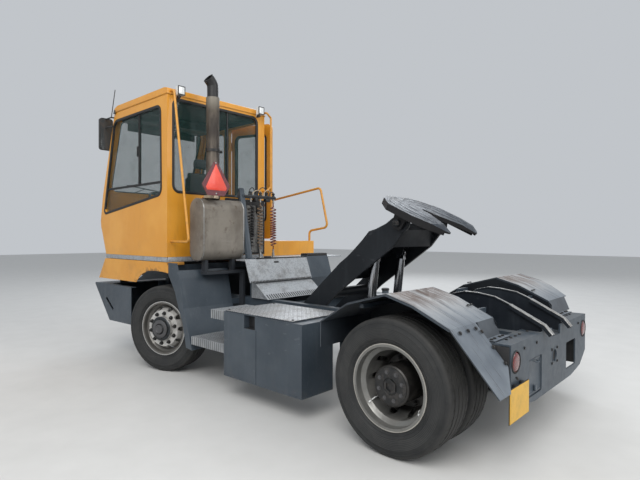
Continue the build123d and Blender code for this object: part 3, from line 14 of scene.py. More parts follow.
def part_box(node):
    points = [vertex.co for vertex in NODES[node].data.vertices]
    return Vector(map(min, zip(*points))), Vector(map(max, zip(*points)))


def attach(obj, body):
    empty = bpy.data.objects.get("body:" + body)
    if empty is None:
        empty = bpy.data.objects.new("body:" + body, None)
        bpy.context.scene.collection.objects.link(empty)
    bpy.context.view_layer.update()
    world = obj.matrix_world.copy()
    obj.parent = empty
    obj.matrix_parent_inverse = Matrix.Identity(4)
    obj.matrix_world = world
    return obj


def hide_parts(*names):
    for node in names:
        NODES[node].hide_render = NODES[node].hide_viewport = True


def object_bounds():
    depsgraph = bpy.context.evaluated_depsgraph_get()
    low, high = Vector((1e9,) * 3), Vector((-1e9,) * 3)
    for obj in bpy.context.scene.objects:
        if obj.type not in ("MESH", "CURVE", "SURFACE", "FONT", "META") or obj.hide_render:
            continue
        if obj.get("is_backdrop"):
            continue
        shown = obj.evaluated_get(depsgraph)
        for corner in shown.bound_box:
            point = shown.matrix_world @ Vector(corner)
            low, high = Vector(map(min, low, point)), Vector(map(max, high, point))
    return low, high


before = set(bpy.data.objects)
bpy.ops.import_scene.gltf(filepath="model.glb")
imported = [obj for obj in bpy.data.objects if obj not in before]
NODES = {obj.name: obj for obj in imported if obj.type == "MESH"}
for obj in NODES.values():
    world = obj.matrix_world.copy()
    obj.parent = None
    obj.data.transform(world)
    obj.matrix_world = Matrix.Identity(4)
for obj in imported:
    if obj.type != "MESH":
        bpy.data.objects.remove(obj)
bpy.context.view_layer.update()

# %% [markdown]
# The photograph was taken with a wide phone lens from behind the left rear wheel. The camera was worked
# out from the wheels, which are true circles of a known size, so the picture and the model line up.

# %% Camera
REAR_AXLE_X = sum(corner.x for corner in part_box("rear_tyres_left")) / 2
CAMERA_FROM_AXLE = Vector((-1.8685, 3.9317, 1.5054))
CAMERA_YAW = math.radians(-47.572)
CAMERA_PITCH = math.radians(-0.404)
CAMERA_ROLL = math.radians(0.148)
FOCAL_PIXELS = 482.2
PHOTO_WIDTH = 640
SENSOR_MM = 36
SIGHT = 200


def axes(x, y, z, origin):
    """A frame from its three axes and its origin."""
    return Matrix((*zip(x, y, z, origin), (0, 0, 0, 1)))


def make_camera():
    forward = Vector((math.cos(CAMERA_YAW) * math.cos(CAMERA_PITCH),
                      math.sin(CAMERA_YAW) * math.cos(CAMERA_PITCH), math.sin(CAMERA_PITCH)))
    level = Vector((math.sin(CAMERA_YAW), -math.cos(CAMERA_YAW), 0))
    upright = level.cross(forward)
    right = level * math.cos(CAMERA_ROLL) + upright * math.sin(CAMERA_ROLL)
    up = upright * math.cos(CAMERA_ROLL) - level * math.sin(CAMERA_ROLL)
    bpy.ops.object.camera_add()
    camera = bpy.context.object
    camera.matrix_world = axes(right, up, -forward, CAMERA_FROM_AXLE + Vector((REAR_AXLE_X, 0, 0)))
    camera.data.sensor_width = SENSOR_MM
    camera.data.lens = FOCAL_PIXELS / PHOTO_WIDTH * SENSOR_MM
    camera.data.clip_end = SIGHT
    bpy.context.scene.camera = camera
    return camera


print("lens:", round(make_camera().data.lens, 2), "mm")

# %% [markdown]
# The light copies the overcast evening of the photograph: a bright sky dome, one large soft source
# from the left behind the camera and weaker ones from the right and the rear to open the shadows.

# %% Floor and light
FLOOR_SIZE = 80
SKY_COLOUR = (0.86, 0.90, 0.95, 1)
SKY_STRENGTH = 0.62
LIGHTS = [
    # name, location, target, size, power, colour
    ("sky_left", (-5, 8, 9), (0, 0, 1), 8, 1050, (1.0, 0.98, 0.95)),
    ("sky_right", (6, -9, 8), (0, 0, 1), 8, 520, (0.93, 0.96, 1.0)),
    ("sky_rear", (-10, -2, 7), (-1, 0, 1), 7, 460, (1.0, 0.99, 0.97)),
]


def make_area_light(name, location, target, size, power, colour):
    bpy.ops.object.light_add(type="AREA", location=location)
    lamp = bpy.context.object
    lamp.name = name
    lamp.data.size = size
    lamp.data.energy = power
    lamp.data.color = colour
    lamp.rotation_mode = "QUATERNION"
    lamp.rotation_quaternion = (Vector(target) - Vector(location)).to_track_quat("-Z", "Y")


bpy.ops.mesh.primitive_plane_add(size=FLOOR_SIZE, location=(0, 0, 0))
floor = bpy.context.object
floor.name = "floor"
floor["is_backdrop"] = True
for light in LIGHTS:
    make_area_light(*light)
world = bpy.data.worlds.new("studio")
bpy.context.scene.world = world
world.use_nodes = True
background = world.node_tree.nodes["Background"]
background.inputs["Color"].default_value = SKY_COLOUR
background.inputs["Strength"].default_value = SKY_STRENGTH
bpy.context.scene.view_settings.view_transform = "Standard"
print("lights:", len(LIGHTS))

# %% [markdown]
# Materials are written as sums. This small class wraps one socket of a node, so that noise * 0.5 adds
# the node that does it. It keeps each finish readable as a recipe.

# %% Shader maths
MATERIALS = {}


def sum_of(operation, swapped=False):
    """A method that adds one maths node."""
    def method(self, other):
        first, second = (other, self) if swapped else (self, other)
        return self.recipe.node("ShaderNodeMath", {"operation": operation}, {0: first, 1: second})[0]
    return method


class Field:
    """A number that varies over a surface: one output socket of a material."""

    def __init__(self, recipe, socket):
        self.recipe = recipe
        self.socket = socket

    __add__ = sum_of("ADD")
    __sub__, __rsub__ = sum_of("SUBTRACT"), sum_of("SUBTRACT", True)
    __mul__ = sum_of("MULTIPLY")
    most, power = sum_of("MAXIMUM"), sum_of("POWER")

    def clamp(self):
        return self.recipe.node("ShaderNodeClamp", {}, {"Value": self})[0]

    def step(self, low, high):
        """0 below low, 1 above high and smooth between, or the other way round if low is above high."""
        rising = low < high
        values = {"Value": self, "From Min": min(low, high), "From Max": max(low, high),
                  "To Min": 0.0 if rising else 1.0, "To Max": 1.0 if rising else 0.0}
        return self.recipe.node("ShaderNodeMapRange", {"interpolation_type": "SMOOTHSTEP"}, values)["Result"]


class Outputs:
    def __init__(self, recipe, node):
        self.recipe = recipe
        self.node = node

    def __getitem__(self, key):
        return Field(self.recipe, self.node.outputs[key])


class Recipe:
    """A new material with a Principled shader, and short calls for the nodes that feed it."""

    def __init__(self, name, metallic=0.0, roughness=0.5, coat=0.0, specular=0.5):
        self.material = MATERIALS[name] = bpy.data.materials.new(name)
        self.material.use_nodes = True
        self.tree = self.material.node_tree
        self.shader = self.tree.nodes["Principled BSDF"]
        for socket, value in (("Metallic", metallic), ("Roughness", roughness), ("Coat Weight", coat),
                              ("Specular IOR Level", specular)):
            self.set(socket, value)

    def node(self, kind, settings, values):
        made = self.tree.nodes.new(kind)
        for key, value in settings.items():
            setattr(made, key, value)
        for key, value in values.items():
            self._feed(made.inputs[key], value)
        return Outputs(self, made)

    def _feed(self, socket, value):
        if isinstance(value, Field):
            self.tree.links.new(value.socket, socket)
        else:
            socket.default_value = (*value, 1.0) if socket.type == "RGBA" else value

    def set(self, name, value):
        self._feed(self.shader.inputs[name], value)

    def place(self):
        return self.node("ShaderNodeTexCoord", {}, {})["Object"]

    def split(self, vector):
        parts = self.node("ShaderNodeSeparateXYZ", {}, {"Vector": vector})
        return parts["X"], parts["Y"], parts["Z"]

    def coords(self, stretch, turn=(0, 0, 0)):
        values = {"Vector": self.place(), "Scale": stretch, "Rotation": turn}
        return self.node("ShaderNodeMapping", {}, values)[0]

    def xyz(self):
        return self.split(self.place())

    def facing(self):
        """How far the surface looks up, from -1 to 1."""
        return self.split(self.node("ShaderNodeNewGeometry", {}, {})["Normal"])[2]

    def noise(self, scale, detail=4, roughness=0.55, stretch=(1, 1, 1), turn=(0, 0, 0)):
        values = {"Vector": self.coords(stretch, turn), "Scale": scale, "Detail": detail, "Roughness": roughness}
        return self.node("ShaderNodeTexNoise", {}, values)[0]

    def scratches(self, scale, stretch, turn=(0, 0, 0)):
        return self.noise(scale, 2, 0.5, stretch, turn)

    def cells(self, scale):
        return self.node("ShaderNodeTexVoronoi", {}, {"Vector": self.coords((1, 1, 1)), "Scale": scale})["Distance"]

    def sine(self, value):
        return self.node("ShaderNodeMath", {"operation": "SINE"}, {0: value})[0]

    def layers(self, colour, *coats):
        """Lay coats, each a mask and a colour, over a first colour."""
        for mask, coat in coats:
            colour = self.node("ShaderNodeMix", {"data_type": "RGBA"}, {0: mask, 6: colour, 7: coat})[2]
        return colour

    def finish(self, colour, roughness, relief=None, metallic=None):
        """Feed the shader. A relief is its height, its distance and its strength."""
        self.set("Base Color", colour)
        self.set("Roughness", roughness.clamp())
        if metallic:
            self.set("Metallic", metallic)
        if relief:
            height, distance, strength = relief
            values = {"Height": height, "Distance": distance, "Strength": strength}
            self.set("Normal", self.node("ShaderNodeBump", {}, values)[0])


DUST = (0.22, 0.21, 0.19)
RUST = (0.13, 0.055, 0.026)
SOOT = (0.012, 0.012, 0.013)

# %% [markdown]
# The cab is a warm orange. Years of port work have dulled it: grime gathers towards the bottom, rain has
# streaked it downwards, and chips along the lower edges show brown steel. Each of those is one mask.

# %% Orange paint
WHEELBASE = 3.150
AXLE_Z = 0.478


def orange_paint():
    paint = Recipe("orange_paint", roughness=0.36, coat=0.25)
    x, y, z = paint.xyz()
    sunned = paint.noise(1.6, 3).step(0.40, 0.66)
    streaks = paint.noise(9, 5, 0.62, (1, 1, 0.12)).step(0.56, 0.78)
    grime = (paint.noise(5, 6, 0.65).step(0.46, 0.74) * z.step(1.75, 0.95)).clamp()
    chips = (paint.noise(30, 5, 0.7).step(0.67, 0.70) * z.step(1.36, 1.12)).clamp()
    wheel_x, wheel_z = x - (REAR_AXLE_X + WHEELBASE), z - AXLE_Z
    from_wheel = (wheel_x * wheel_x + wheel_z * wheel_z).power(0.5)
    arch = (from_wheel.step(0.72, 0.60) * paint.noise(17, 6, 0.7).step(0.47, 0.55)).clamp()
    fine = paint.scratches(90, (1, 1, 6), (0.2, 0.5, 0.1)).step(0.72, 0.76) * z.step(1.7, 1.0)
    worn = chips.most(fine * 0.7).most(arch)
    colour = paint.layers((0.66, 0.285, 0.022), (sunned, (0.72, 0.335, 0.040)), (streaks * 0.30, (0.33, 0.15, 0.03)),
                          (grime * 0.28, (0.30, 0.19, 0.10)), (worn, (0.055, 0.035, 0.028)))
    paint.finish(colour, paint.noise(14, 4) * 0.22 + 0.24 + worn * 0.35 + grime * 0.2,
                 (paint.noise(60, 3) * 0.25 - worn * 0.6, 0.0006, 0.5))


orange_paint()

# %% [markdown]
# The chassis is a dark blue-grey that was brushed over again and again. Dust settles in soft patches,
# mostly on upward faces, and the guards are scraped to brown where ropes and boots have rubbed. On the
# guards the upward faces are painted paler as painted light and the other faces darker as painted shade.

# %% Dark chassis paint
DARK_PAINTS = [
    # name, base, dusty, wear, roughness, share of soil, specular
    ("dark_paint", (0.032, 0.045, 0.060), (0.052, 0.068, 0.086), 0.3, 0.42, 1.0, 0.5),
    ("black_paint", (0.007, 0.009, 0.012), (0.014, 0.017, 0.021), 0.15, 0.44, 0.25, 0.25),
    ("ramp_paint", (0.010, 0.013, 0.018), (0.022, 0.028, 0.035), 0.25, 0.40, 0.5, 0.25),
]


def dark_paint(name, base, dusty, wear, roughness, soil, specular):
    paint = Recipe(name, roughness=roughness, coat=0.05, specular=specular)
    x, y, z = paint.xyz()
    up = paint.facing().step(0.35, 0.95)
    dust = (paint.noise(6, 6, 0.66).step(0.38, 0.72) * (up * 0.8 + 0.08)).clamp()
    drips = paint.noise(10, 5, 0.62, (1, 1, 0.10)).step(0.52, 0.76) * (1 - up)
    mud = (paint.noise(11, 6, 0.7).step(0.50, 0.8) * z.step(0.45, 0.1)).clamp()
    scrape = paint.scratches(26, (0.35, 5, 1), (0.1, 0.05, 0.4)).step(0.66, 0.72)
    rust = (paint.noise(7, 6, 0.7).step(0.62, 0.74) * up * wear).clamp()
    colour = paint.layers(base, (paint.noise(1.7, 4).step(0.35, 0.7), dusty), (dust * (0.40 * soil), DUST),
                          (drips * (0.30 * soil), (0.10, 0.115, 0.13)), (mud * (0.4 * soil), (0.13, 0.115, 0.10)),
                          ((scrape * wear * 0.5).clamp(), (0.20, 0.21, 0.22)), (rust, RUST))
    paint.finish(colour, paint.noise(18, 4) * 0.25 + roughness - 0.1 + dust * 0.25 + rust * 0.3,
                 (paint.noise(70, 4) * 0.3 + scrape * wear * 0.3, 0.0008, 0.5))


def guard_paint():
    """Brushed paint that ropes and boots have scraped along its length, down to brown steel on the crown. Upward faces
    are painted paler as painted light, the other faces darker as painted shade.
    """
    paint = Recipe("guard_paint", roughness=0.4, coat=0.08)
    x, y, z = paint.xyz()
    up = paint.facing().step(0.30, 0.75)
    patches = paint.noise(3, 4).step(0.35, 0.7)
    # painted light and painted shade: under is a dark copy of the paint for faces that do not look up, top a pale
    # blue-grey copy for upward faces
    under = paint.layers((0.020, 0.025, 0.032), (patches, (0.040, 0.049, 0.060)))
    top = paint.layers((0.100, 0.120, 0.145), (patches, (0.170, 0.195, 0.222)))
    ahead = x - REAR_AXLE_X
    crown = (ahead.step(-0.52, -0.16) * ahead.step(0.55, 0.34) * up).clamp()
    rubbed = paint.noise(5, 5, 0.65, (0.35, 3, 1)).step(0.28, 0.54) * crown
    rusty = (paint.noise(6, 6, 0.68, (0.35, 2.4, 1)).step(0.36, 0.54) * ahead.step(-0.36, -0.10) * up).clamp()
    long_marks = paint.scratches(17, (0.20, 6, 0.3)).step(0.60, 0.66) * crown
    dark_marks = paint.scratches(13, (0.16, 7, 0.3), (0, 0, 0.03)).step(0.64, 0.68) * up
    colour = paint.layers(under, (up, top), ((rubbed * 0.85).clamp(), (0.40, 0.41, 0.42)),
                          ((rusty * 0.85).clamp(), (0.088, 0.052, 0.036)),
                          ((long_marks * 0.7).clamp(), (0.42, 0.42, 0.41)),
                          ((dark_marks * 0.75).clamp(), (0.020, 0.020, 0.022)))
    paint.finish(colour, paint.noise(18, 4) * 0.22 + 0.28 + rusty * 0.2,
                 (long_marks * 0.4 - dark_marks * 0.5 + paint.noise(60, 4) * 0.3, 0.0010, 0.6))


for facts in DARK_PAINTS:
    dark_paint(*facts)
guard_paint()

# %% [markdown]
# Bare and plated metals: the ramps are polished by trailer coupling plates, the steps and chequer
# plates are galvanised, which dries to a flaky spangle, and the cylinder rods are hard chrome.

# %% Metals


def worn_steel():
    metal = Recipe("worn_steel", metallic=1.0, roughness=0.34)
    rubbed = metal.scratches(24, (0.25, 7, 1)).step(0.35, 0.7)
    film = metal.noise(14, 5, 0.65, (0.6, 2, 1)).step(0.52, 0.68)
    colour = metal.layers((0.34, 0.33, 0.31), (rubbed, (0.80, 0.79, 0.77)), (film * 0.75, (0.075, 0.062, 0.055)))
    metal.finish(colour, metal.noise(20, 4) * 0.3 + 0.2 + film * 0.25, (rubbed * 0.4, 0.0006, 0.6), 1 - film * 0.7)


def galvanised():
    metal = Recipe("galvanised", metallic=0.6, roughness=0.5)
    spangle = metal.cells(55).step(0.1, 0.7)
    dirt = metal.noise(8, 6, 0.7).step(0.46, 0.74)
    colour = metal.layers((0.30, 0.32, 0.34), (spangle, (0.44, 0.46, 0.48)), (dirt * 0.55, (0.12, 0.115, 0.105)))
    metal.finish(colour, spangle * 0.18 + 0.36 + dirt * 0.25, (metal.noise(120, 3) * 0.3, 0.0004, 0.5),
                 0.6 - dirt * 0.4)


def punched_step():
    """Step plate: rows of punched holes on top and a saw-toothed edge on the side. The holes and the gaps of the teeth
    are painted dark as painted shade.
    """
    metal = Recipe("punched_step", metallic=0.45, roughness=0.55)
    x, y, z = metal.xyz()
    up = metal.facing().step(0.5, 0.9)
    rows = metal.sine(x * (2 * math.pi / 0.034))
    across = metal.sine(y * (2 * math.pi / 0.030))
    # painted shade: the punched holes and the gaps between the teeth are dark colour, not modelled openings
    holes = ((rows * across).step(0.42, 0.62) * up).clamp()
    teeth = (rows.step(0.15, 0.45) * (1 - up)).clamp()
    colour = metal.layers((0.27, 0.285, 0.30), (metal.noise(9, 5).step(0.4, 0.7), (0.38, 0.39, 0.40)),
                          (teeth * 0.75, (0.055, 0.058, 0.060)), (holes, (0.020, 0.020, 0.021)))
    metal.finish(colour, metal.noise(22, 4) * 0.25 + 0.42, (0 - holes - teeth * 0.5, 0.003, 0.8),
                 (0.45 - holes * 0.4 - teeth * 0.3).clamp())


def plate_steel():
    """The coupling plate: greased steel on its bearing face, black paint under it."""
    metal = Recipe("plate_steel", metallic=0.4, roughness=0.36, specular=0.3)
    up = metal.facing().step(0.35, 0.60)
    long_marks = metal.scratches(16, (0.18, 6, 1)).step(0.56, 0.66)
    fine = metal.scratches(60, (0.12, 5, 1), (0, 0, 0.05)).step(0.58, 0.70)
    grease = metal.noise(4, 5, 0.6).step(0.52, 0.68)
    colour = metal.layers((0.022, 0.031, 0.044), (long_marks * 0.75, (0.22, 0.25, 0.28)),
                          (fine * 0.6, (0.035, 0.037, 0.042)), (grease * 0.6, (0.030, 0.029, 0.030)))
    metal.finish(metal.layers(SOOT, (up, colour)), 0.52 - up * 0.16 + metal.noise(20, 4) * 0.14 - long_marks * 0.1,
                 (long_marks * 0.5 - fine * 0.5, 0.0008, 0.6), (up * 0.4).clamp())


def rod_steel():
    metal = Recipe("rod_steel", metallic=1.0, roughness=0.2)
    film = metal.noise(5, 4, 0.5, (2, 2, 0.35)).step(0.45, 0.75)
    metal.finish(metal.layers((0.42, 0.43, 0.45), (film * 0.6, (0.20, 0.19, 0.18))), film * 0.12 + 0.18)


def exhaust_metal():
    """Heat-mottled sheet. Below the can come the painted legs and the bracket."""
    metal = Recipe("exhaust_metal", metallic=0.35, roughness=0.66)
    x, y, z = metal.xyz()
    heat = metal.noise(3.4, 5, 0.62, (1, 1, 0.6)).step(0.34, 0.66)
    blots = metal.noise(9, 6, 0.7).step(0.56, 0.70)
    spots = metal.noise(40, 3, 0.6).step(0.72, 0.76)
    streaks = metal.noise(14, 5, 0.6, (1, 0.15, 1)).step(0.58, 0.75)
    painted = z.step(1.252, 1.246)
    colour = metal.layers((0.150, 0.130, 0.108), (heat, (0.250, 0.225, 0.190)), (blots * 0.6, (0.095, 0.062, 0.042)),
                          (spots, (0.035, 0.028, 0.024)), (streaks * 0.30, (0.36, 0.34, 0.31)),
                          (z.step(1.60, 1.52) * 0.22, (0.30, 0.28, 0.25)), (painted, (0.022, 0.026, 0.032)))
    metal.finish(colour, metal.noise(25, 4) * 0.25 + 0.44 + blots * 0.15,
                 (metal.noise(45, 5) * 0.5 - spots, 0.0012, 0.6), 0.35 - painted * 0.35)


def stack_metal():
    metal = Recipe("stack_metal", metallic=0.3, roughness=0.6)
    x, y, z = metal.xyz()
    rough_heat = metal.noise(7, 6, 0.66, (1, 1, 0.4)).step(0.36, 0.66)
    streaks = metal.noise(22, 5, 0.6, (1, 1, 0.08)).step(0.56, 0.72)
    soot = z.step(3.026, 3.032)
    colour = metal.layers((0.036, 0.029, 0.024), (rough_heat, (0.115, 0.095, 0.075)),
                          (z.step(2.86, 2.99) * 0.8, (0.22, 0.20, 0.165)),
                          (z.step(2.20, 2.05) * 0.6, (0.040, 0.032, 0.028)),
                          (streaks * 0.3, (0.22, 0.19, 0.155)), (soot, SOOT))
    metal.finish(colour, metal.noise(25, 4) * 0.25 + 0.38, (metal.noise(50, 5) * 0.4, 0.0010, 0.6),
                 (0.3 - soot * 0.25).clamp())


for recipe in (worn_steel, galvanised, punched_step, plate_steel, rod_steel, exhaust_metal, stack_metal):
    recipe()

# %% [markdown]
# Tyre rubber is never quite black outdoors: a brown-grey film of road dust lies on it, paler on the
# shoulders. The fine rings on the sidewall are painted paler on their crests as painted highlight. The rims
# are silver paint at the front and darker steel on the rear twins; on both, the well and the hub recess are
# painted darker as painted shade, and the rear disc deep inside the twins is painted near-black as painted shade.

# %% Rubber and rims
STEER_REST = math.radians(19)
TWIN_MIDDLE_LEFT = 0.93
RIM_LOOKS = {
    # the well colours and the rear disc colour are painted shade in the rim's recesses
    # flange, well, disc, radius of the disc and of the hub
    "front": ((0.62, 0.62, 0.61), (0.16, 0.155, 0.145), (0.60, 0.59, 0.57), 0.225, 0.134),
    "rear": ((0.46, 0.44, 0.40), (0.20, 0.20, 0.19), (0.030, 0.029, 0.028), 0.215, 0.100),
}


def from_wheel_axis(recipe, which, side):
    """Distance from a wheel's axis, for a wheel that may be steered about the vertical."""
    centre, turn = Vector((REAR_AXLE_X, TWIN_MIDDLE_LEFT if side == "left" else -TWIN_MIDDLE_LEFT, AXLE_Z)), 0.0
    if which == "front":
        low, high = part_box(f"front_tyre_{side}")
        centre, turn = (low + high) / 2, STEER_REST
    values = {"Vector": recipe.place(), "Location": centre, "Rotation": (0, 0, turn)}
    x, y, z = recipe.split(recipe.node("ShaderNodeMapping", {"vector_type": "TEXTURE"}, values)[0])
    return (x * x + z * z).power(0.5)


def tyre_rubber(which, side):
    rubber = Recipe(f"tyre_{which}_{side}", roughness=0.8, specular=0.35)
    radius = from_wheel_axis(rubber, which, side)
    film = rubber.noise(7, 6, 0.65).step(0.3, 0.75)
    # painted highlight: the crests of the fine sidewall rings are painted paler
    ring = rubber.sine(radius * 620).step(0.2, 0.9)
    band = radius.step(0.325, 0.345) * radius.step(0.425, 0.40)
    tread = radius.step(0.445, 0.470)
    dust = rubber.noise(16, 6, 0.7).step(0.45, 0.75)
    colour = rubber.layers((0.015, 0.016, 0.017), (film, (0.032, 0.033, 0.033)),
                           (ring * band * 0.45, (0.070, 0.070, 0.068)),
                           ((tread * 0.25 + dust * 0.18).clamp(), (0.075, 0.071, 0.066)))
    rubber.finish(colour, film * 0.2 + 0.62, (rubber.noise(130, 4) * 0.3 + ring * band * 0.5, 0.0010, 0.6))


def rim_paint(which, side, base, well, disc, disc_radius, hub_radius):
    """A rim with a bright flange, a well painted darker as painted shade, a disc of the given colour (near-black on the
    rear twins, as painted shade) and a hub recess painted near-black as painted shade.
    """
    paint = Recipe(f"rim_{which}_{side}", metallic=0.5, roughness=0.4)
    radius = from_wheel_axis(paint, which, side)
    dirt = paint.noise(9, 6, 0.68).step(0.36, 0.72)
    specks = paint.noise(48, 4, 0.7).step(0.68, 0.74)
    # painted shade: the well, the rear disc and the hub recess are painted darker than the flange
    colour = paint.layers(base, (radius.step(0.2935, 0.2905), well),
                          (radius.step(disc_radius + 0.008, disc_radius - 0.008), disc),
                          (radius.step(hub_radius + 0.003, hub_radius - 0.003), (0.028, 0.033, 0.038)),
                          (dirt * 0.45, (0.065, 0.058, 0.050)), (specks * 0.6, RUST))
    paint.finish(colour, dirt * 0.3 + 0.32 + specks * 0.2, (paint.noise(60, 3) * 0.2 - specks * 0.3, 0.0005, 0.5),
                 (0.55 - dirt * 0.4).clamp())


for which, looks in RIM_LOOKS.items():
    for side in ("left", "right"):
        tyre_rubber(which, side)
        rim_paint(which, side, *looks)

# %% [markdown]
# Glass on a cab is slightly green and dusty at the edges. Thin panes are see-through by their alpha, which
# keeps the seat inside visible without dark refraction. Lamps, plastics and small metal parts share
# recipes whose colours stand in a table.

# %% Glass, lamps, plastics and small metal parts
LENSES = [
    # name, colour, deep colour, rings
    ("lamp_red", (0.20, 0.012, 0.010), (0.09, 0.006, 0.006), 130),
    ("dull_red", (0.20, 0.040, 0.045), (0.12, 0.026, 0.032), 220),
    ("lamp_clear", (0.82, 0.83, 0.80), (0.60, 0.62, 0.62), 110),
    ("lamp_white", (0.90, 0.91, 0.90), (0.72, 0.74, 0.74), 90),
]
PLASTICS = [
    # name, base, dusty, roughness
    ("gasket", (0.012, 0.012, 0.013), (0.05, 0.048, 0.045), 0.6),
    ("black_plastic", (0.020, 0.021, 0.023), (0.075, 0.07, 0.065), 0.5),
    ("cab_lining", (0.030, 0.031, 0.032), (0.060, 0.058, 0.055), 0.7),
    ("hose_black", (0.015, 0.015, 0.016), (0.06, 0.055, 0.05), 0.42),
    ("hose_brown", (0.19, 0.12, 0.065), (0.13, 0.10, 0.075), 0.42),
    ("hose_red", (0.15, 0.028, 0.020), (0.14, 0.055, 0.045), 0.38),
    ("plate_yellow", (0.66, 0.37, 0.025), (0.42, 0.29, 0.10), 0.4),
]
SMALL_METALS = [
    # name, base, dirty, share of dirt, metallic, roughness
    ("bolt_steel", (0.42, 0.42, 0.41), (0.13, 0.08, 0.05), 0.5, 0.9, 0.36),
    ("hub_black", (0.016, 0.017, 0.018), (0.050, 0.042, 0.036), 0.6, 0.3, 0.42),
    ("hub_grey", (0.10, 0.10, 0.105), (0.04, 0.038, 0.035), 0.6, 0.5, 0.42),
    ("grey_panel", (0.20, 0.195, 0.185), (0.055, 0.050, 0.045), 0.9, 0.1, 0.6),
    ("orange_metal", (0.62, 0.29, 0.045), (0.34, 0.17, 0.06), 0.5, 0.1, 0.45),
    ("beige_paint", (0.42, 0.34, 0.24), (0.16, 0.11, 0.07), 0.7, 0.1, 0.5),
]


def window_glass():
    glass = Recipe("window_glass", roughness=0.04, specular=0.7)
    haze = glass.noise(5, 5, 0.6).step(0.45, 0.8)
    glass.set("Alpha", (haze * 0.08 + 0.22).clamp())
    glass.finish(glass.layers((0.020, 0.060, 0.055), (haze * 0.5, (0.10, 0.14, 0.13))), haze * 0.08 + 0.02)
    glass.material.surface_render_method = "DITHERED"


def lamp_lens(name, colour, deep, rings):
    lens = Recipe(name, roughness=0.18, coat=0.6)
    pattern = lens.cells(rings).step(0.15, 0.6)
    lens.finish(lens.layers(colour, (pattern, deep)), lens.noise(20, 4) * 0.12 + 0.14, (pattern, 0.0015, 0.5))


def plastic(name, base, dusty, roughness):
    made = Recipe(name, roughness=roughness)
    dust = made.noise(10, 5, 0.62).step(0.42, 0.76)
    made.finish(made.layers(base, (dust * 0.6, dusty)), dust * 0.2 + roughness - 0.05,
                (made.noise(160, 3) * 0.3, 0.0003, 0.5))


def small_metal(name, base, dirty, dirt_share, metallic, roughness):
    metal = Recipe(name, metallic=metallic, roughness=roughness)
    dirt = (metal.noise(26, 5, 0.66).step(0.42, 0.72) * dirt_share).clamp()
    metal.finish(metal.layers(base, (dirt, dirty)), dirt * 0.35 + roughness, (metal.noise(90, 3) * 0.3, 0.0003, 0.5),
                 metallic - dirt * 0.6)


def seat_cloth():
    cloth = Recipe("seat_cloth", roughness=0.9, specular=0.2)
    weave = cloth.cells(420)
    cloth.set("Base Color", cloth.layers((0.020, 0.021, 0.024), (weave.step(0.1, 0.6), (0.065, 0.067, 0.075))))
    cloth.set("Normal", cloth.node("ShaderNodeBump", {}, {"Height": weave, "Distance": 0.0008, "Strength": 0.6})[0])


# %% [markdown]
# The tread plate of the lids has rows of small lozenges, turned by turns. A wave along each diagonal,
# multiplied together and cut at a level, raises them. Mirrors and boards are simpler.

# %% Tread plate, mirrors, boards and paving
LOZENGE_PITCH = 0.046


def lozenges(recipe, first, second):
    """1 on a lozenge of a row and 0 beside it."""
    waves = [recipe.sine(way * (2 * math.pi / LOZENGE_PITCH)) for way in (first, second)]
    return (waves[0] * waves[1]).step(0.30, 0.62)


def chequer():
    metal = Recipe("chequer", metallic=0.7, roughness=0.5)
    x, y, z = metal.xyz()
    raised = lozenges(metal, x + y, (x - y) * 0.42).most(lozenges(metal, (x + y) * 0.42 + 0.02, x - y + 0.023))
    dirt = metal.noise(7, 6, 0.7).step(0.42, 0.72)
    colour = metal.layers((0.30, 0.31, 0.32), (raised, (0.55, 0.56, 0.57)), (dirt * 0.55, (0.15, 0.135, 0.12)))
    metal.finish(colour, 0.5 - raised * 0.16 + dirt * 0.22, (raised, 0.0025, 0.9), 0.7 - dirt * 0.5)


def mirror_glass():
    mirror = Recipe("mirror_glass", metallic=0.0, roughness=0.12)
    film = mirror.noise(14, 5, 0.6).step(0.45, 0.8)
    mirror.finish(mirror.layers((0.050, 0.056, 0.060), (film * 0.3, (0.09, 0.09, 0.09))), film * 0.10 + 0.12)


def reflex_board():
    board = Recipe("red_board", roughness=0.34, coat=0.3)
    pattern = board.cells(220).step(0.1, 0.6)
    faded = board.noise(9, 4).step(0.40, 0.70)
    colour = board.layers((0.74, 0.055, 0.035), (faded, (0.82, 0.095, 0.060)), (pattern * 0.2, (0.90, 0.16, 0.10)))
    board.finish(colour, faded * 0.12 + 0.30, (pattern, 0.0004, 0.4))


def paving():
    stone = Recipe("floor", roughness=0.85, specular=0.2)
    stone.set("Base Color", stone.layers((0.56, 0.56, 0.55), (stone.noise(3, 5), (0.64, 0.64, 0.63))))


for recipe in (window_glass, seat_cloth, chequer, mirror_glass, reflex_board, paving):
    recipe()
for recipe, table in ((lamp_lens, LENSES), (plastic, PLASTICS), (small_metal, SMALL_METALS)):
    for facts in table:
        recipe(*facts)
floor.data.materials.append(MATERIALS["floor"])
print("finishes:", len(MATERIALS))

# %% [markdown]
# New pieces are modelled with the tools of edit mode. These helpers keep each one short: pick a piece,
# mark its faces by where they are, round its edges, and settle it with a finish and the body it rides on.
# Places are given in metres ahead of the rear axle, to the left and above the ground.

# %% Workshop helpers
SIDE_NAME = {1: "left", -1: "right"}
UP, BACK = (0, 0, 1), (-1, 0, 0)
shift = Matrix.Translation


def turn(angle, axis):
    return Matrix.Rotation(angle, 4, axis)


def at(ahead, left, up):
    return Vector((REAR_AXLE_X + ahead, left, up))


def onto(point, normal):
    """Stand something modelled along Z on a point, with Z along the normal."""
    return shift(point) @ Vector(normal).to_track_quat("Z", "Y").to_matrix().to_4x4()


def pick(*pieces):
    bpy.ops.object.select_all(action="DESELECT")
    for piece in pieces:
        piece.select_set(True)
    bpy.context.view_layer.objects.active = pieces[0]


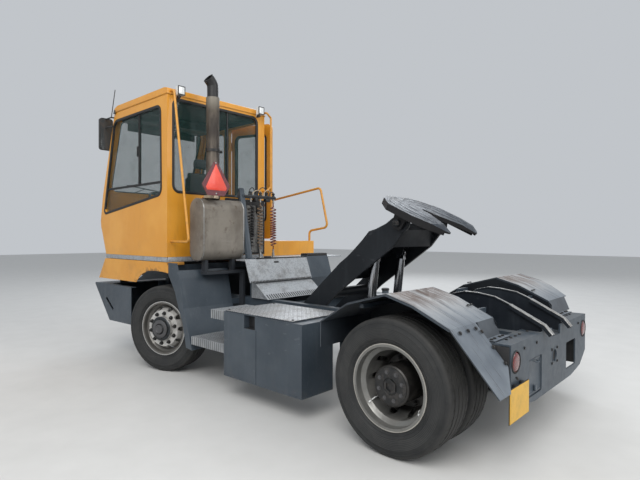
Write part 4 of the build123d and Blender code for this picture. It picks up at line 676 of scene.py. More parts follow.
def mark(piece, kind, test):
    """Open a piece in edit mode with the edges or faces selected whose middle and direction pass a test."""
    pick(piece)
    bpy.ops.object.mode_set(mode="EDIT")
    bpy.ops.mesh.select_mode(type=kind)
    bpy.ops.mesh.select_all(action="DESELECT")
    leave_edit()
    corners = [vertex.co for vertex in piece.data.vertices]
    if kind == "EDGE":
        for edge in piece.data.edges:
            a, b = [corners[i] for i in edge.vertices]
            edge.select = test((a + b) / 2, (b - a).normalized())
    else:
        for face in piece.data.polygons:
            face.select = test(face.center, face.normal)
    bpy.ops.object.mode_set(mode="EDIT")


def leave_edit():
    bpy.ops.object.mode_set(mode="OBJECT")


def edit_all():
    bpy.ops.object.mode_set(mode="EDIT")
    bpy.ops.mesh.select_all(action="SELECT")


def extrude(way):
    bpy.ops.mesh.extrude_region_move(TRANSFORM_OT_translate={"value": way})


def close_skin():
    """Turn every face of the open piece outwards and leave edit mode."""
    bpy.ops.mesh.select_all(action="SELECT")
    bpy.ops.mesh.normals_make_consistent(inside=False)
    leave_edit()


def apply_all(piece):
    pick(piece)
    for modifier in list(piece.modifiers):
        bpy.ops.object.modifier_apply(modifier=modifier.name)
    bpy.ops.object.transform_apply(location=True, rotation=True, scale=True)
    return piece


def round_edges(piece, width, segments=2):
    bevel = piece.modifiers.new("round", "BEVEL")
    bevel.width = width
    bevel.segments = segments
    bevel.limit_method = "ANGLE"
    bevel.angle_limit = math.radians(30)
    return apply_all(piece)


def recessed(piece, way, rim, depth):
    """Inset the faces that look one way, and push their middle in, or out where the depth is negative."""
    way = Vector(way)
    mark(piece, "FACE", lambda centre, normal: normal.dot(way) > 0.9)
    bpy.ops.mesh.inset(thickness=rim)
    extrude(way * -depth)
    leave_edit()
    return piece


def round_corners(piece, axis, radius, segments):
    """Round the edges of a sheet that run along an axis, 0 for X or 2 for Z."""
    mark(piece, "EDGE", lambda centre, along_it: abs(along_it[axis]) > 0.9)
    bpy.ops.mesh.bevel(offset=radius, segments=segments)
    leave_edit()
    return piece


def stand(piece, matrix):
    """Move a piece that was modelled at the origin to its place, and put the place in its mesh."""
    piece.matrix_world = matrix @ piece.matrix_world
    return apply_all(piece)


def joined(pieces):
    pick(*pieces)
    if len(pieces) > 1:
        bpy.ops.object.join()
    return bpy.context.object


def copied(piece, matrix):
    """A copy with its own mesh, at another place."""
    twin = piece.copy()
    twin.data = piece.data.copy()
    bpy.context.collection.objects.link(twin)
    twin.matrix_world = matrix @ piece.matrix_world
    return twin


def copies_of(master, places):
    copies = [copied(master, place) for place in places]
    bpy.data.objects.remove(master)
    return copies


def settle(pieces, name, finish, body="chassis", smooth=35):
    """Join pieces into one with its name, its finish and the body that it rides on."""
    piece = apply_all(joined(pieces))
    bpy.ops.object.shade_smooth_by_angle(angle=math.radians(smooth))
    piece.name = name
    piece.data.name = name
    piece.data.materials.clear()
    piece.data.materials.append(MATERIALS[finish])
    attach(piece, body)
    return piece


# %% [markdown]
# A few basic shapes start nearly every piece: a slab between two corners, a turned part made by spinning
# an outline as on a lathe, a tube along a line, and a ring or a plate with a given outline. Each is only a
# start, which the piece's own cell then cuts, insets or bends.

# %% Starting shapes


def block(low, high, edge=0.002, segments=2):
    """A slab between two opposite corners, counted from the origin."""
    low, high = Vector(low), Vector(high)
    bpy.ops.object.select_all(action="DESELECT")
    bpy.ops.mesh.primitive_cube_add(size=1, location=(low + high) / 2)
    piece = bpy.context.object
    piece.scale = [abs(step) for step in high - low]
    apply_all(piece)
    return round_edges(piece, edge, segments) if edge else piece


def slab(low, high, edge=0.002, segments=2):
    """A slab between two opposite corners, counted from the rear axle."""
    return block(at(*low), at(*high), edge, segments)


def slabs(edge, *corners):
    return [slab(low, high, edge) for low, high in corners]


def bar(radius, depth, edge, sides):
    """A round or many-sided bar that stands on the origin, along Z."""
    bpy.ops.object.select_all(action="DESELECT")
    bpy.ops.mesh.primitive_cylinder_add(vertices=sides, radius=radius, depth=depth, location=(0, 0, depth / 2))
    piece = apply_all(bpy.context.object)
    return round_edges(piece, edge) if edge else piece


def turned(outline, steps=48, closed=False):
    """Spin an outline of (radius, height) points about Z."""
    bpy.ops.object.select_all(action="DESELECT")
    bpy.ops.mesh.primitive_plane_add(size=0.01)
    piece = bpy.context.object
    bpy.ops.object.mode_set(mode="EDIT")
    bpy.ops.mesh.select_mode(type="VERT")
    bpy.ops.mesh.select_all(action="SELECT")
    bpy.ops.mesh.merge(type="CENTER")
    bpy.ops.transform.translate(value=(outline[0][0], 0, outline[0][1]))
    points = list(outline) + ([outline[0]] if closed else [])
    for (r0, h0), (r1, h1) in zip(points, points[1:]):
        extrude((r1 - r0, 0, h1 - h0))
    bpy.ops.mesh.select_all(action="SELECT")
    bpy.ops.mesh.spin(steps=steps, angle=2 * math.pi, center=(0, 0, 0), axis=UP)
    bpy.ops.mesh.select_all(action="SELECT")
    bpy.ops.mesh.remove_doubles(threshold=0.00002)
    close_skin()
    return piece


def lay_spline(data, points, order=3):
    """Give a curve one smooth line that is pulled towards the points."""
    data.dimensions = "3D"
    spline = data.splines.new("NURBS")
    spline.points.add(len(points) - 1)
    for point, place in zip(spline.points, points):
        point.co = (*place, 1)
    spline.order_u = order
    spline.use_endpoint_u = True
    return spline


def tube(points, radius, sides=6, order=3):
    """A round tube whose middle line is a smooth curve pulled towards the points."""
    bpy.ops.object.select_all(action="DESELECT")
    bpy.ops.curve.primitive_nurbs_path_add()
    line = bpy.context.object
    line.data.splines.clear()
    lay_spline(line.data, points, order).resolution_u = 4
    line.data.bevel_depth = radius
    line.data.bevel_resolution = sides // 2
    line.data.use_fill_caps = True
    pick(line)
    bpy.ops.object.convert(target="MESH")
    return bpy.context.object


def hexagon(radius, height, washer=0.0):
    """A hexagonal head with a rounded crown, standing on the origin, with a washer if one is asked for."""
    head = bar(radius, height, 0, 6)
    mark(head, "FACE", lambda centre, normal: normal.z > 0.9)
    bpy.ops.mesh.inset(thickness=radius * 0.16)
    bpy.ops.transform.translate(value=(0, 0, height * 0.12))
    leave_edit()
    return joined([head, bar(washer, height * 0.22, 0.0004, 16)]) if washer else head


def rounded_face(corners, radius, segments):
    """A flat face with four rounded corners, left open in edit mode."""
    bpy.ops.object.select_all(action="DESELECT")
    bpy.ops.mesh.primitive_plane_add(size=1)
    face = bpy.context.object
    for index, corner in zip((0, 1, 3, 2), corners):
        face.data.vertices[index].co = corner
    edit_all()
    bpy.ops.mesh.bevel(offset=radius, segments=segments, affect="VERTICES")
    bpy.ops.mesh.select_mode(type="FACE")
    bpy.ops.mesh.select_all(action="SELECT")
    return face


def hollow_ring(corners, radius, segments, width, way):
    """The rim of a rounded face, extruded into a band."""
    ring = rounded_face(corners, radius, segments)
    bpy.ops.mesh.inset(thickness=width)
    bpy.ops.mesh.delete(type="FACE")
    bpy.ops.mesh.select_all(action="SELECT")
    extrude(way)
    close_skin()
    return ring


def cut_plate(points, way, edge):
    """A plate with a given outline, made as thick as a vector is long."""
    bpy.ops.object.select_all(action="DESELECT")
    bpy.ops.mesh.primitive_circle_add(vertices=len(points), fill_type="NGON")
    plate = bpy.context.object
    for vertex, point in zip(plate.data.vertices, points):
        vertex.co = point
    edit_all()
    extrude(way)
    close_skin()
    return round_edges(plate, edge)


def swept_bar(line, left, half, low, high, upright=False):
    """A flat bar that follows a side-view line: one face, extruded from point to point."""
    bpy.ops.object.select_all(action="DESELECT")
    bpy.ops.mesh.primitive_plane_add(size=1)
    strip = bpy.context.object
    (x0, z0), (x1, z1) = line[0], line[1]
    run = Vector((x1 - x0, 0, z1 - z0)).normalized()
    up = Vector(UP) if upright else Vector((-run.z, 0, run.x))
    corners = [(-half, low), (half, low), (-half, high), (half, high)]
    for vertex, (side_step, rise) in zip(strip.data.vertices, corners):
        vertex.co = at(x0, left + side_step, z0) + up * rise
    edit_all()
    for (xa, za), (xb, zb) in zip(line, line[1:]):
        extrude((xb - xa, 0, zb - za))
    close_skin()
    return strip


def spread(master, name, places, finish, body="chassis"):
    """Copy a master to many places, each a matrix, and join the copies into one piece."""
    return settle(copies_of(master, places), name, finish, body)


print("shapes ready: slab, bar, turned, tube, hexagon, ring, plate")

# %% [markdown]
# Three coiled air and power hoses hang from a bar behind the cab: black, brown and red. A coiled hose is
# one long hose wound on a rod and set with heat. Its middle line is a route of a few points, and a loop
# winds the helix round that route, with straight tails into the fittings at the top and the bottom.

# %% Coiled hoses
HOSE_X = 2.610
HOSE_TOP = 1.9610
HOSE_FOOT = 1.3105
HOSES = [
    # node, left, coil radius, hose diameter, turns, phase
    ("coil_black", 0.254, 0.0320, 0.0130, 14, 0.4),
    ("coil_brown", 0.106, 0.0320, 0.0120, 13, 2.1),
    ("coil_red", -0.105, 0.0340, 0.0140, 15, 4.0),
]
POINTS_PER_TURN = 14
TAIL = 0.060


def route_line(points):
    """Read a smooth route back as closely spaced points."""
    data = bpy.data.curves.new("route", "CURVE")
    lay_spline(data, points)
    holder = bpy.data.objects.new("route", data)
    bpy.context.collection.objects.link(holder)
    mesh = bpy.data.meshes.new_from_object(holder)
    line = [vertex.co.copy() for vertex in mesh.vertices]
    bpy.data.objects.remove(holder)
    return line


def along(line, share):
    """The point at a share of the way along a read line."""
    steps = share * (len(line) - 1)
    i = min(int(steps), len(line) - 2)
    return line[i].lerp(line[i + 1], steps - i)


def coil_points(left, radius, turns, phase):
    top, foot = at(HOSE_X, left, HOSE_TOP), at(HOSE_X, left, HOSE_FOOT)
    line = route_line([top, top.lerp(foot, 0.35) + Vector((0.003, 0.002, 0)),
                       top.lerp(foot, 0.7) + Vector((-0.003, 0.003, 0)), foot])
    first = TAIL / (HOSE_TOP - HOSE_FOOT)
    last = 1 - first
    points = [top, along(line, first * 0.35), along(line, first * 0.7)]
    count = turns * POINTS_PER_TURN
    for i in range(count + 1):
        share = i / count
        ease = min(1, share * turns / 0.6, (1 - share) * turns / 0.6)
        angle = phase + 2 * math.pi * turns * share
        wander = radius * ease * (1 + 0.035 * math.sin(angle * 0.37))
        points.append(along(line, first + (last - first) * share)
                      + Vector((math.cos(angle) * wander, math.sin(angle) * wander, 0)))
    return points + [along(line, 1 - first * 0.7), along(line, 1 - first * 0.35), foot]


def coiled_hose(node, left, radius, diameter, turns, phase):
    points = coil_points(left, radius, turns, phase)
    data = bpy.data.curves.new(node + "_hose", "CURVE")
    lay_spline(data, points).resolution_u = 2
    data.bevel_depth = diameter / 2
    data.bevel_resolution = 2
    data.use_fill_caps = True
    hose = bpy.data.objects.new(node + "_hose", data)
    bpy.context.collection.objects.link(hose)
    data.materials.append(MATERIALS[node.replace("coil", "hose")])
    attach(hose, "chassis")
    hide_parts(node)


for facts in HOSES:
    coiled_hose(*facts)

# %% [markdown]
# Each hose ends in brass unions: one screwed up into the header bar and one on a parking post that
# stands on the deck, so that nothing swings about while the tractor drives without a trailer.

# %% Hose unions and parking posts
DECK_Z = 1.250
HEADER_LOW = 1.962
UNION = [(0, 0), (0.013, 0), (0.013, 0.012), (0.010, 0.014), (0.010, 0.030), (0.015, 0.032), (0.015, 0.044),
         (0, 0.044)]
posts = []
for node, left, *_ in HOSES:
    posts += [stand(turned(UNION, 12), shift(at(HOSE_X, left, up))) for up in (HEADER_LOW - 0.044, HOSE_FOOT - 0.010)]
    for half, top in ((0.012, HOSE_FOOT - 0.008), (0.030, DECK_Z + 0.006)):
        posts.append(slab((HOSE_X - half, left - half, DECK_Z - 0.001), (HOSE_X + half, left + half, top)))
settle(posts, "hose_unions", "bolt_steel")
print("hose fittings:", 2 * len(HOSES))

# %% [markdown]
# A truck tyre is a turned shape: a flat tread with four drainage grooves, round shoulders, and a sidewall
# with raised rings that protect the rim. The outline is drawn once and spun. The tread is half worn, so
# its shoulders are smooth and only fine slits are left in the edge ribs: single faces pushed in a little.

# %% Tyres
KINGPIN_LEFT = 0.860
FRONT_WHEEL_LEFT = 1.045
REAR_OUTER_LEFT = 1.084
TWIN_SPACING = 0.310
TYRE_STEPS = 144
SLIT_EVERY = 3
HALF_TYRE = [
    # radius, distance from the middle
    (0.4775, 0.0205), (0.4650, 0.0215), (0.4650, 0.0300), (0.4770, 0.0315), (0.4762, 0.0700),
    (0.4640, 0.0712), (0.4640, 0.0788), (0.4752, 0.0800), (0.4738, 0.1060), (0.4712, 0.1140),
    (0.4640, 0.1215), (0.4530, 0.1270), (0.4440, 0.1298), (0.4400, 0.1330), (0.4360, 0.1315),
    (0.4140, 0.1372), (0.4100, 0.1400), (0.4060, 0.1385), (0.3850, 0.1395), (0.3600, 0.1360),
    (0.3400, 0.1290), (0.3370, 0.1310), (0.3340, 0.1275), (0.3220, 0.1205), (0.3180, 0.1215),
    (0.3140, 0.1165), (0.3080, 0.1110), (0.3010, 0.1100), (0.3000, 0.1060), (0.2868, 0.1055),
]


def about(point, angle, axis):
    """A turn about a line through a point."""
    return shift(point) @ turn(angle, axis) @ shift(-point)


def outward(side):
    return turn(math.radians(-90 * side), "X")


def front_frame(side):
    """Where a front wheel's axis starts, with Z pointing out of the tractor."""
    steered = about(at(WHEELBASE, side * KINGPIN_LEFT, 0), STEER_REST, "Z")
    return steered @ shift(at(WHEELBASE, side * FRONT_WHEEL_LEFT, AXLE_Z)) @ outward(side)


def rear_frame(side, inward=0.0):
    return shift(at(0, side * (REAR_OUTER_LEFT - inward), AXLE_Z)) @ outward(side)


def model_tyre():
    tyre = turned(HALF_TYRE + [(radius, -half) for radius, half in HALF_TYRE[::-1]], TYRE_STEPS, closed=True)

    def in_slit(centre, normal):
        step = int((math.atan2(centre.y, centre.x) + math.pi) / (2 * math.pi / TYRE_STEPS))
        radius = math.hypot(centre.x, centre.y)
        return step % SLIT_EVERY == 0 and radius > 0.470 and 0.084 < abs(centre.z) < 0.108

    mark(tyre, "FACE", in_slit)
    bpy.ops.mesh.inset(thickness=0.0015, use_individual=True)
    bpy.ops.mesh.extrude_region_shrink_fatten(TRANSFORM_OT_shrink_fatten={"value": -0.002})
    leave_edit()
    return tyre


tyre_master = model_tyre()
print("tyre faces:", len(tyre_master.data.polygons))
for side, word in SIDE_NAME.items():
    single = settle([stand(copied(tyre_master, Matrix()), front_frame(side))], f"tyre_front_{word}",
                    f"tyre_front_{word}", f"front_wheel_{word}", 28)
    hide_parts(f"front_tyre_{word}")
    twins = [stand(copied(tyre_master, Matrix()), rear_frame(side, inward)) for inward in (0, TWIN_SPACING)]
    pair = settle(twins, f"tyres_rear_{word}", f"tyre_rear_{word}", f"rear_wheels_{word}", 28)
    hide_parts(f"rear_tyres_{word}")
bpy.data.objects.remove(tyre_master)

# %% [markdown]
# Ten nuts hold each wheel, on a circle of 335 mm, the size that every heavy truck shares. The front hub
# ends in a pressed cap, and the driven rear hub in a flat cover whose bolts clamp the axle shaft, with a
# hexagonal socket in its middle. Nuts and bolts are modelled once and copied round their circle.

# %% Wheel nuts and hub caps
STUD_RADIUS = 0.1675
FRONT_DISC = 0.111
REAR_DISC = -0.144
REAR_HUB_OUT = 0.081
STUD = [(0, 0.034), (0.0075, 0.034), (0.0100, 0.0315), (0.0100, 0.015), (0, 0.015)]
FRONT_CAP = [(0.050, 0.000), (0.050, 0.010), (0.046, 0.016), (0.034, 0.018), (0.030, 0.014), (0, 0.014)]
CAP_RIM = [(0.098, -0.012), (0.098, -0.004), (0.092, 0.000), (0.060, 0.002), (0.056, -0.003), (0.056, -0.012)]
REAR_COVER = [(0.128, 0.000), (0.128, 0.004), (0.122, 0.0075), (0.060, 0.0075), (0.056, 0.003), (0.050, 0.003),
              (0.050, 0.000)]


def around(base, count, radius, height, start):
    """Places on a circle round the axis of a frame."""
    return [base @ turn(start + 2 * math.pi * i / count, "Z") @ shift((radius, 0, height)) for i in range(count)]


def wheel_nut():
    return joined([hexagon(0.0165, 0.022, 0.0225), turned(STUD, 12)])


def hub(side, word):
    front, rear = front_frame(side), rear_frame(side)
    front_body, rear_body = f"front_wheel_{word}", f"rear_wheels_{word}"
    spread(wheel_nut(), f"wheel_nuts_front_{word}", around(front, 10, STUD_RADIUS, FRONT_DISC, 0.2), "hub_black",
           front_body)
    spread(wheel_nut(), f"wheel_nuts_rear_{word}", around(rear, 10, STUD_RADIUS, REAR_DISC, 0.1), "hub_black",
           rear_body)
    cap = stand(joined([turned(FRONT_CAP, 40), turned(CAP_RIM, 40)]), front @ shift((0, 0, FRONT_DISC + 0.0600)))
    settle([cap], f"hub_cap_front_{word}", "hub_grey", front_body, 40)
    spread(hexagon(0.0075, 0.0065, 0.0105), f"hub_bolts_front_{word}",
           around(front, 8, 0.110, FRONT_DISC + 0.044, 0.15), "hub_black", front_body)
    socket = recessed(bar(0.052, 0.012, 0, 6), UP, 0.014, 0.010)
    cover = stand(joined([socket, turned(REAR_COVER, 48)]), rear @ shift((0, 0, REAR_HUB_OUT - 0.0005)))
    settle([cover], f"hub_cover_rear_{word}", "hub_black", rear_body, 40)
    spread(hexagon(0.011, 0.009, 0.0155), f"hub_bolts_rear_{word}",
           around(rear, 8, 0.098, REAR_HUB_OUT + 0.0065, 0.3), "hub_grey", rear_body)


for side, word in SIDE_NAME.items():
    hub(side, word)
print("wheel nuts: 40, hub caps: 4")

# %% [markdown]
# Twin wheels need long valve extensions to reach the inner tyre through the hand holes. They are thin
# brass tubes that bend outwards, with a knurled cap each.

# %% Valves
VALVE_CAP = [(0, 0.016), (0.0055, 0.016), (0.0068, 0.013), (0.0068, 0.001), (0.0050, -0.002), (0, -0.002)]
TWIN_STEM = [(0.235, 0, -0.12), (0.232, 0, -0.03), (0.226, 0, 0.01), (0.250, 0.010, 0.045)]
SINGLE_STEM = [(0.245, 0, 0.02), (0.240, 0, 0.05), (0.236, 0, 0.075)]


def valve(base, points):
    points = [base @ Vector(point) for point in points]
    return [tube(points, 0.0042, 8), stand(turned(VALVE_CAP, 10), onto(points[-1], points[-1] - points[-2]))]


for side, word in SIDE_NAME.items():
    twin_valves = [piece for angle in (0.62, 2.45) for piece in valve(rear_frame(side) @ turn(angle, "Z"), TWIN_STEM)]
    settle(twin_valves, f"valves_rear_{word}", "lamp_white", f"rear_wheels_{word}")
    settle(valve(front_frame(side) @ turn(0.9, "Z"), SINGLE_STEM), f"valve_front_{word}", "bolt_steel",
           f"front_wheel_{word}")
print("valves: 6")

# %% [markdown]
# Every window sits in a black rubber gasket. Four corners are rounded by a vertex bevel, the face is
# inset by the width of the rubber, its middle is deleted, and the ring is pulled into the wall.

# %% Window gaskets
CAB_REAR = 2.867
CAB_LEFT = 1.200
CAB_RIGHT = -0.180
LEFT_WINDOW = [(4.130, 2.946), (3.004, 2.946), (2.985, 1.965), (4.430, 1.785)]
RIGHT_WINDOW = [(4.110, 2.946), (3.680, 2.946), (3.680, 1.900), (4.390, 1.810)]
REAR_WINDOW = [(1.130, 3.010), (-0.060, 3.010), (-0.060, 1.990), (1.130, 1.990)]
SCREEN_FACE = [(4.139, 3.060), (4.482, 2.041)]
SCREEN_SPAN = [(1.110, 2.985), (-0.090, 2.985), (-0.090, 2.085), (1.110, 2.085)]
DOOR_WINDOW = [(3.510, 2.880), (3.015, 2.880), (3.015, 1.700), (3.510, 1.700)]
DOOR_HINGE = (3.600, -0.203)
DOOR_HALF = 0.018
DOOR_AJAR = math.radians(17)
CORNER = 0.090


def grown(points, amount):
    """A window outline moved outwards on every side."""
    middle = [sum(point[i] for point in points) / len(points) for i in (0, 1)]
    return [[value + math.copysign(amount, value - mean) for value, mean in zip(point, middle)] for point in points]


def frame_ring(corners, outward, radius, width, proud, deep, edge=0.003):
    outward = Vector(outward).normalized()
    corners = [corner + outward * proud for corner in corners]
    return round_edges(hollow_ring(corners, radius, 7, width, -outward * (proud + deep)), edge)


def on_screen(left, up, out=0.0):
    """A point on the sloping windscreen, at a height."""
    (top_x, top_z), (foot_x, foot_z) = SCREEN_FACE
    share = (top_z - up) / (top_z - foot_z)
    return at(top_x + (foot_x - top_x) * share + out, left, up)


SCREEN_NORMAL = Vector((SCREEN_FACE[0][1] - SCREEN_FACE[1][1], 0, SCREEN_FACE[1][0] - SCREEN_FACE[0][0]))
WALLS = [
    # corners of the opening, direction of its face, width of the rubber
    ([at(x, CAB_LEFT, z) for x, z in grown(LEFT_WINDOW, 0.012)], (0, 1, 0), 0.030),
    ([at(x, CAB_RIGHT, z) for x, z in grown(RIGHT_WINDOW, 0.012)], (0, -1, 0), 0.030),
    ([at(CAB_REAR, y, z) for y, z in grown(REAR_WINDOW, 0.012)], BACK, 0.030),
    ([on_screen(y, z) for y, z in grown(SCREEN_SPAN, 0.012)], SCREEN_NORMAL, 0.032),
]
settle([frame_ring(corners, way, CORNER, width, 0.005, 0.018) for corners, way, width in WALLS],
       "window_gaskets", "gasket", "cab")
door_swing = about(at(*DOOR_HINGE, 0), DOOR_AJAR, "Z")
door_rings = [frame_ring([at(x, DOOR_HINGE[1] + side * DOOR_HALF, z) for x, z in grown(DOOR_WINDOW, 0.010)],
                         (0, side, 0), 0.075, 0.028, proud, deep)
              for side, proud, deep in ((-1, 0.004, 0.015), (1, 0.003, 0.014))]
settle([stand(joined(door_rings), door_swing)], "door_gasket", "gasket", "cab_door")
print("gaskets:", len(WALLS) + len(door_rings))

# %% [markdown]
# The side window slides: a black aluminium post splits it, and a bar crosses above the sloping foot.
# Both have a groove, which is an inset face pushed back, so that light breaks on them twice.

# %% Window bars
SLIDE_POST = (3.494, 3.519)
CROSS_BAR = (2.092, 2.116)
grooved = slabs(0, ((SLIDE_POST[0], CAB_LEFT - 0.030, CROSS_BAR[1] - 0.004), (SLIDE_POST[1], CAB_LEFT - 0.004, 2.944)),
                ((2.992, CAB_LEFT - 0.028, CROSS_BAR[0]), (4.344, CAB_LEFT - 0.006, CROSS_BAR[1])),
                ((2.998, CAB_LEFT - 0.026, CROSS_BAR[1]), (3.026, CAB_LEFT - 0.008, 2.944)))
window_bars = [round_edges(recessed(part, (0, 1, 0), 0.006, 0.004), 0.0012, 1) for part in grooved]
window_bars.append(slab((3.540, CAB_LEFT - 0.018, 2.440), (3.556, CAB_LEFT - 0.002, 2.560), 0.004))
window_bars.append(slab((CAB_REAR + 0.008, 0.386, 1.992), (CAB_REAR + 0.028, 0.404, 3.008), 0.002))
settle(window_bars, "window_bars", "gasket", "cab")
print("window bars: 5")

# %% [markdown]
# The roof ends in a folded rain gutter, and a grey weather strip closes the gap between the tilting cab
# and the orange sill below it. Each is a thin slab whose edge is rounded, cut to follow the cab.

# %% Gutter, weather strip and sill
SEAM = (1.224, 1.279)
SILL = (1.190, 1.222)
GUTTER = (3.048, 3.062)
settle(slabs(0.004, ((2.880, 1.178, SEAM[0]), (4.380, 1.196, SEAM[1])),
              ((2.869, -0.170, SEAM[0]), (2.886, 1.190, SEAM[1])),
             ((4.372, -0.170, SEAM[0]), (4.388, 1.190, SEAM[1] - 0.002))), "weather_strip", "galvanised", "cab")
settle([slab((2.849, 1.000, SILL[0]), (2.866, 1.200, SILL[1]), 0.003)], "rear_sill", "orange_metal")
settle(slabs(0.003, ((2.860, CAB_LEFT - 0.002, GUTTER[0]), (4.130, CAB_LEFT + 0.011, GUTTER[1])),
             ((CAB_REAR - 0.011, -0.178, GUTTER[0]), (CAB_REAR + 0.002, CAB_LEFT + 0.010, GUTTER[1])),
             ((2.860, CAB_RIGHT - 0.011, GUTTER[0]), (4.130, CAB_RIGHT + 0.002, GUTTER[1]))),
       "roof_gutter", "orange_metal", "cab")
print("cab trim: 3 pieces")

# %% [markdown]
# The work lamps at the rear roof corners are square housings with a bright reflector behind clear glass.
# The bezel's face is inset and pushed back, so it throws a shadow on the lens.

# %% Work lamps
WORK_LAMPS_LEFT = (1.085, -0.045)
bezels = []
for left in WORK_LAMPS_LEFT:
    bezel = slab((2.762, left - 0.044, 3.035), (2.774, left + 0.044, 3.131), 0)
    bezels.append(round_edges(recessed(bezel, BACK, 0.008, 0.007), 0.002))
    bezels.append(slab((2.800, left - 0.014, 3.010), (2.850, left + 0.014, 3.036), 0.003))
settle([slab((2.764, left - 0.035, 3.044), (2.769, left + 0.035, 3.122)) for left in WORK_LAMPS_LEFT],
       "work_lamp_lenses", "lamp_white", "cab")
settle(bezels, "work_lamp_bezels", "black_plastic", "cab")
print("work lamps: 2")

# %% [markdown]
# The driver climbs in by a door that stands ajar, so it needs its lock handle, its hinges' bolts and a
# grab bar inside. The handle is a bar with its grip pulled out and rounded.

# %% Door furniture
handle_plate = slab((3.000, -0.2235, 1.570), (3.120, -0.2185, 1.640))
grip = recessed(slab((3.020, -0.2330, 1.592), (3.100, -0.2200, 1.618), 0), (0, -1, 0), 0.004, -0.006)
rail = tube([at(3.050, left, up) for left, up in ((-0.187, 1.720), (-0.150, 1.720), (-0.142, 1.760), (-0.142, 2.160),
                                                  (-0.150, 2.200), (-0.187, 2.200))], 0.010, 10)
settle([stand(joined([handle_plate, round_edges(grip, 0.002), rail]), door_swing)], "door_handle", "black_plastic",
       "cab_door")
spread(hexagon(0.0070, 0.005, 0.010), "hinge_bolts",
       [door_swing @ onto(at(3.570, DOOR_HINGE[1] - DOOR_HALF, up + rise), (0, -1, 0))
        for up in (1.700, 2.750) for rise in (-0.022, 0.022)], "bolt_steel", "cab_door")
print("door furniture: handle, rail and 4 hinge bolts")

# %% [markdown]
# A mirror head is a moulded shell with the glass let into its rear side. The glass is a rounded slab
# behind a lip, and it shows the sky, so its finish is smooth and dark.

# %% Mirrors and whip aerial
lips, panes = [], []
for middle in (CAB_LEFT + 0.025, CAB_RIGHT - 0.025):
    corners = [at(4.300, middle + a, b) for a, b in ((0.083, 3.003), (-0.083, 3.003), (-0.083, 2.602), (0.083, 2.602))]
    lips.append(frame_ring(corners, BACK, 0.034, 0.009, 0.003, 0.004, 0.0015))
    pane = slab((4.2985, middle - 0.076, 2.612), (4.3010, middle + 0.076, 2.994), 0)
    panes.append(round_corners(pane, 0, 0.026, 6))
settle(lips, "mirror_lips", "black_plastic", "cab")
settle(panes, "mirror_glasses", "mirror_glass", "cab")
aerial_foot = turned([(0.016, 0), (0.016, 0.008), (0.011, 0.020), (0.008, 0.045), (0, 0.045)], 16)
settle([stand(aerial_foot, shift(at(4.090, 1.215, 3.030)))], "aerial_foot", "black_plastic", "cab")
print("mirrors: 2")

# %% [markdown]
# Two wipers park low on the windscreen. Each has a bent arm and a blade that lies on the glass, so the
# points of both are worked out on the screen's slope.

# %% Wipers
PIVOT_UP = 2.060
WIPER_BOSS = [(0.020, 0), (0.020, 0.012), (0.012, 0.022), (0, 0.022)]


def wiper(pivot_left, tip_left, tip_up):
    pivot = on_screen(pivot_left, PIVOT_UP, 0.022)
    elbow = on_screen((pivot_left + tip_left) / 2, (PIVOT_UP + tip_up) / 2, 0.026)
    tip = on_screen(tip_left, tip_up, 0.018)
    arm = tube([pivot, pivot.lerp(elbow, 0.6), elbow, elbow.lerp(tip, 0.8), tip], 0.0055)
    low, high = [on_screen(tip_left + step * 0.26, tip_up + step * 0.03, 0.012) for step in (-1, 1)]
    blade = tube([low, low.lerp(high, 0.5) + SCREEN_NORMAL.normalized() * 0.008, high], 0.007)
    boss = stand(turned(WIPER_BOSS, 16), onto(on_screen(pivot_left, PIVOT_UP, 0.001), SCREEN_NORMAL))
    return [arm, blade, boss]


settle(wiper(0.85, 0.62, 2.16) + wiper(0.30, 0.10, 2.16), "wipers", "gasket", "cab")
print("wipers: 2")

# %% [markdown]
# Through the glass one sees a dark lining, the roof console, the pillars and the seat. A lining is a set
# of thin panels a hair inside the orange walls, so the paint stays outside and the room looks black.

# %% Cab lining and console
WALL = 0.040
THIN = 0.004
INSIDE_LEFT, INSIDE_RIGHT, INSIDE_REAR = CAB_LEFT - WALL, CAB_RIGHT + WALL, CAB_REAR + WALL
LINED = {
    # the rear wall between (right, low) and (left, high), then the side walls between (rear, low) and (front, high)
    "rear": [(INSIDE_RIGHT + 0.01, 1.282, INSIDE_LEFT - 0.01, 1.955),
             (INSIDE_RIGHT + 0.01, 3.035, INSIDE_LEFT - 0.01, 3.056),
             (1.150, 1.960, INSIDE_LEFT, 3.040), (INSIDE_RIGHT, 1.960, -0.080, 3.040)],
    "left": [(INSIDE_REAR, 1.282, 4.400, 1.745), (INSIDE_REAR, 1.740, 2.965, 3.050),
             (INSIDE_REAR, 2.972, 4.100, 3.056)],
    "right": [(3.630, 1.282, 4.400, 1.790), (3.590, 1.790, 3.655, 3.050), (INSIDE_REAR, 2.990, 4.090, 3.056)],
}
panels = [slab((INSIDE_REAR, right, low), (INSIDE_REAR + THIN, left, high), 0.001)
          for right, low, left, high in LINED["rear"]]
for wall, inner, outer in (("left", INSIDE_LEFT - THIN, INSIDE_LEFT), ("right", INSIDE_RIGHT, INSIDE_RIGHT + THIN)):
    panels += [slab((rear, inner, low), (front, outer, high), 0.001) for rear, low, front, high in LINED[wall]]
panels += slabs(0.001, ((INSIDE_REAR + 0.01, INSIDE_RIGHT + 0.01, 3.052), (4.080, INSIDE_LEFT - 0.01, 3.060)),
                ((INSIDE_REAR, INSIDE_RIGHT, 1.2785), (4.110, INSIDE_LEFT, 1.286)))
settle(panels, "cab_lining", "cab_lining", "cab")
console = recessed(slab((3.760, 0.000, 2.930), (4.070, 1.130, 3.050), 0), BACK, 0.018, 0.020)
radio = slab((3.764, 0.420, 2.958), (3.790, 0.610, 3.018), 0.003)
visor = slab((4.060, 0.080, 2.840), (4.070, 1.060, 2.975), 0.004)
settle([round_edges(console, 0.010), radio, visor], "roof_console", "black_plastic", "cab")
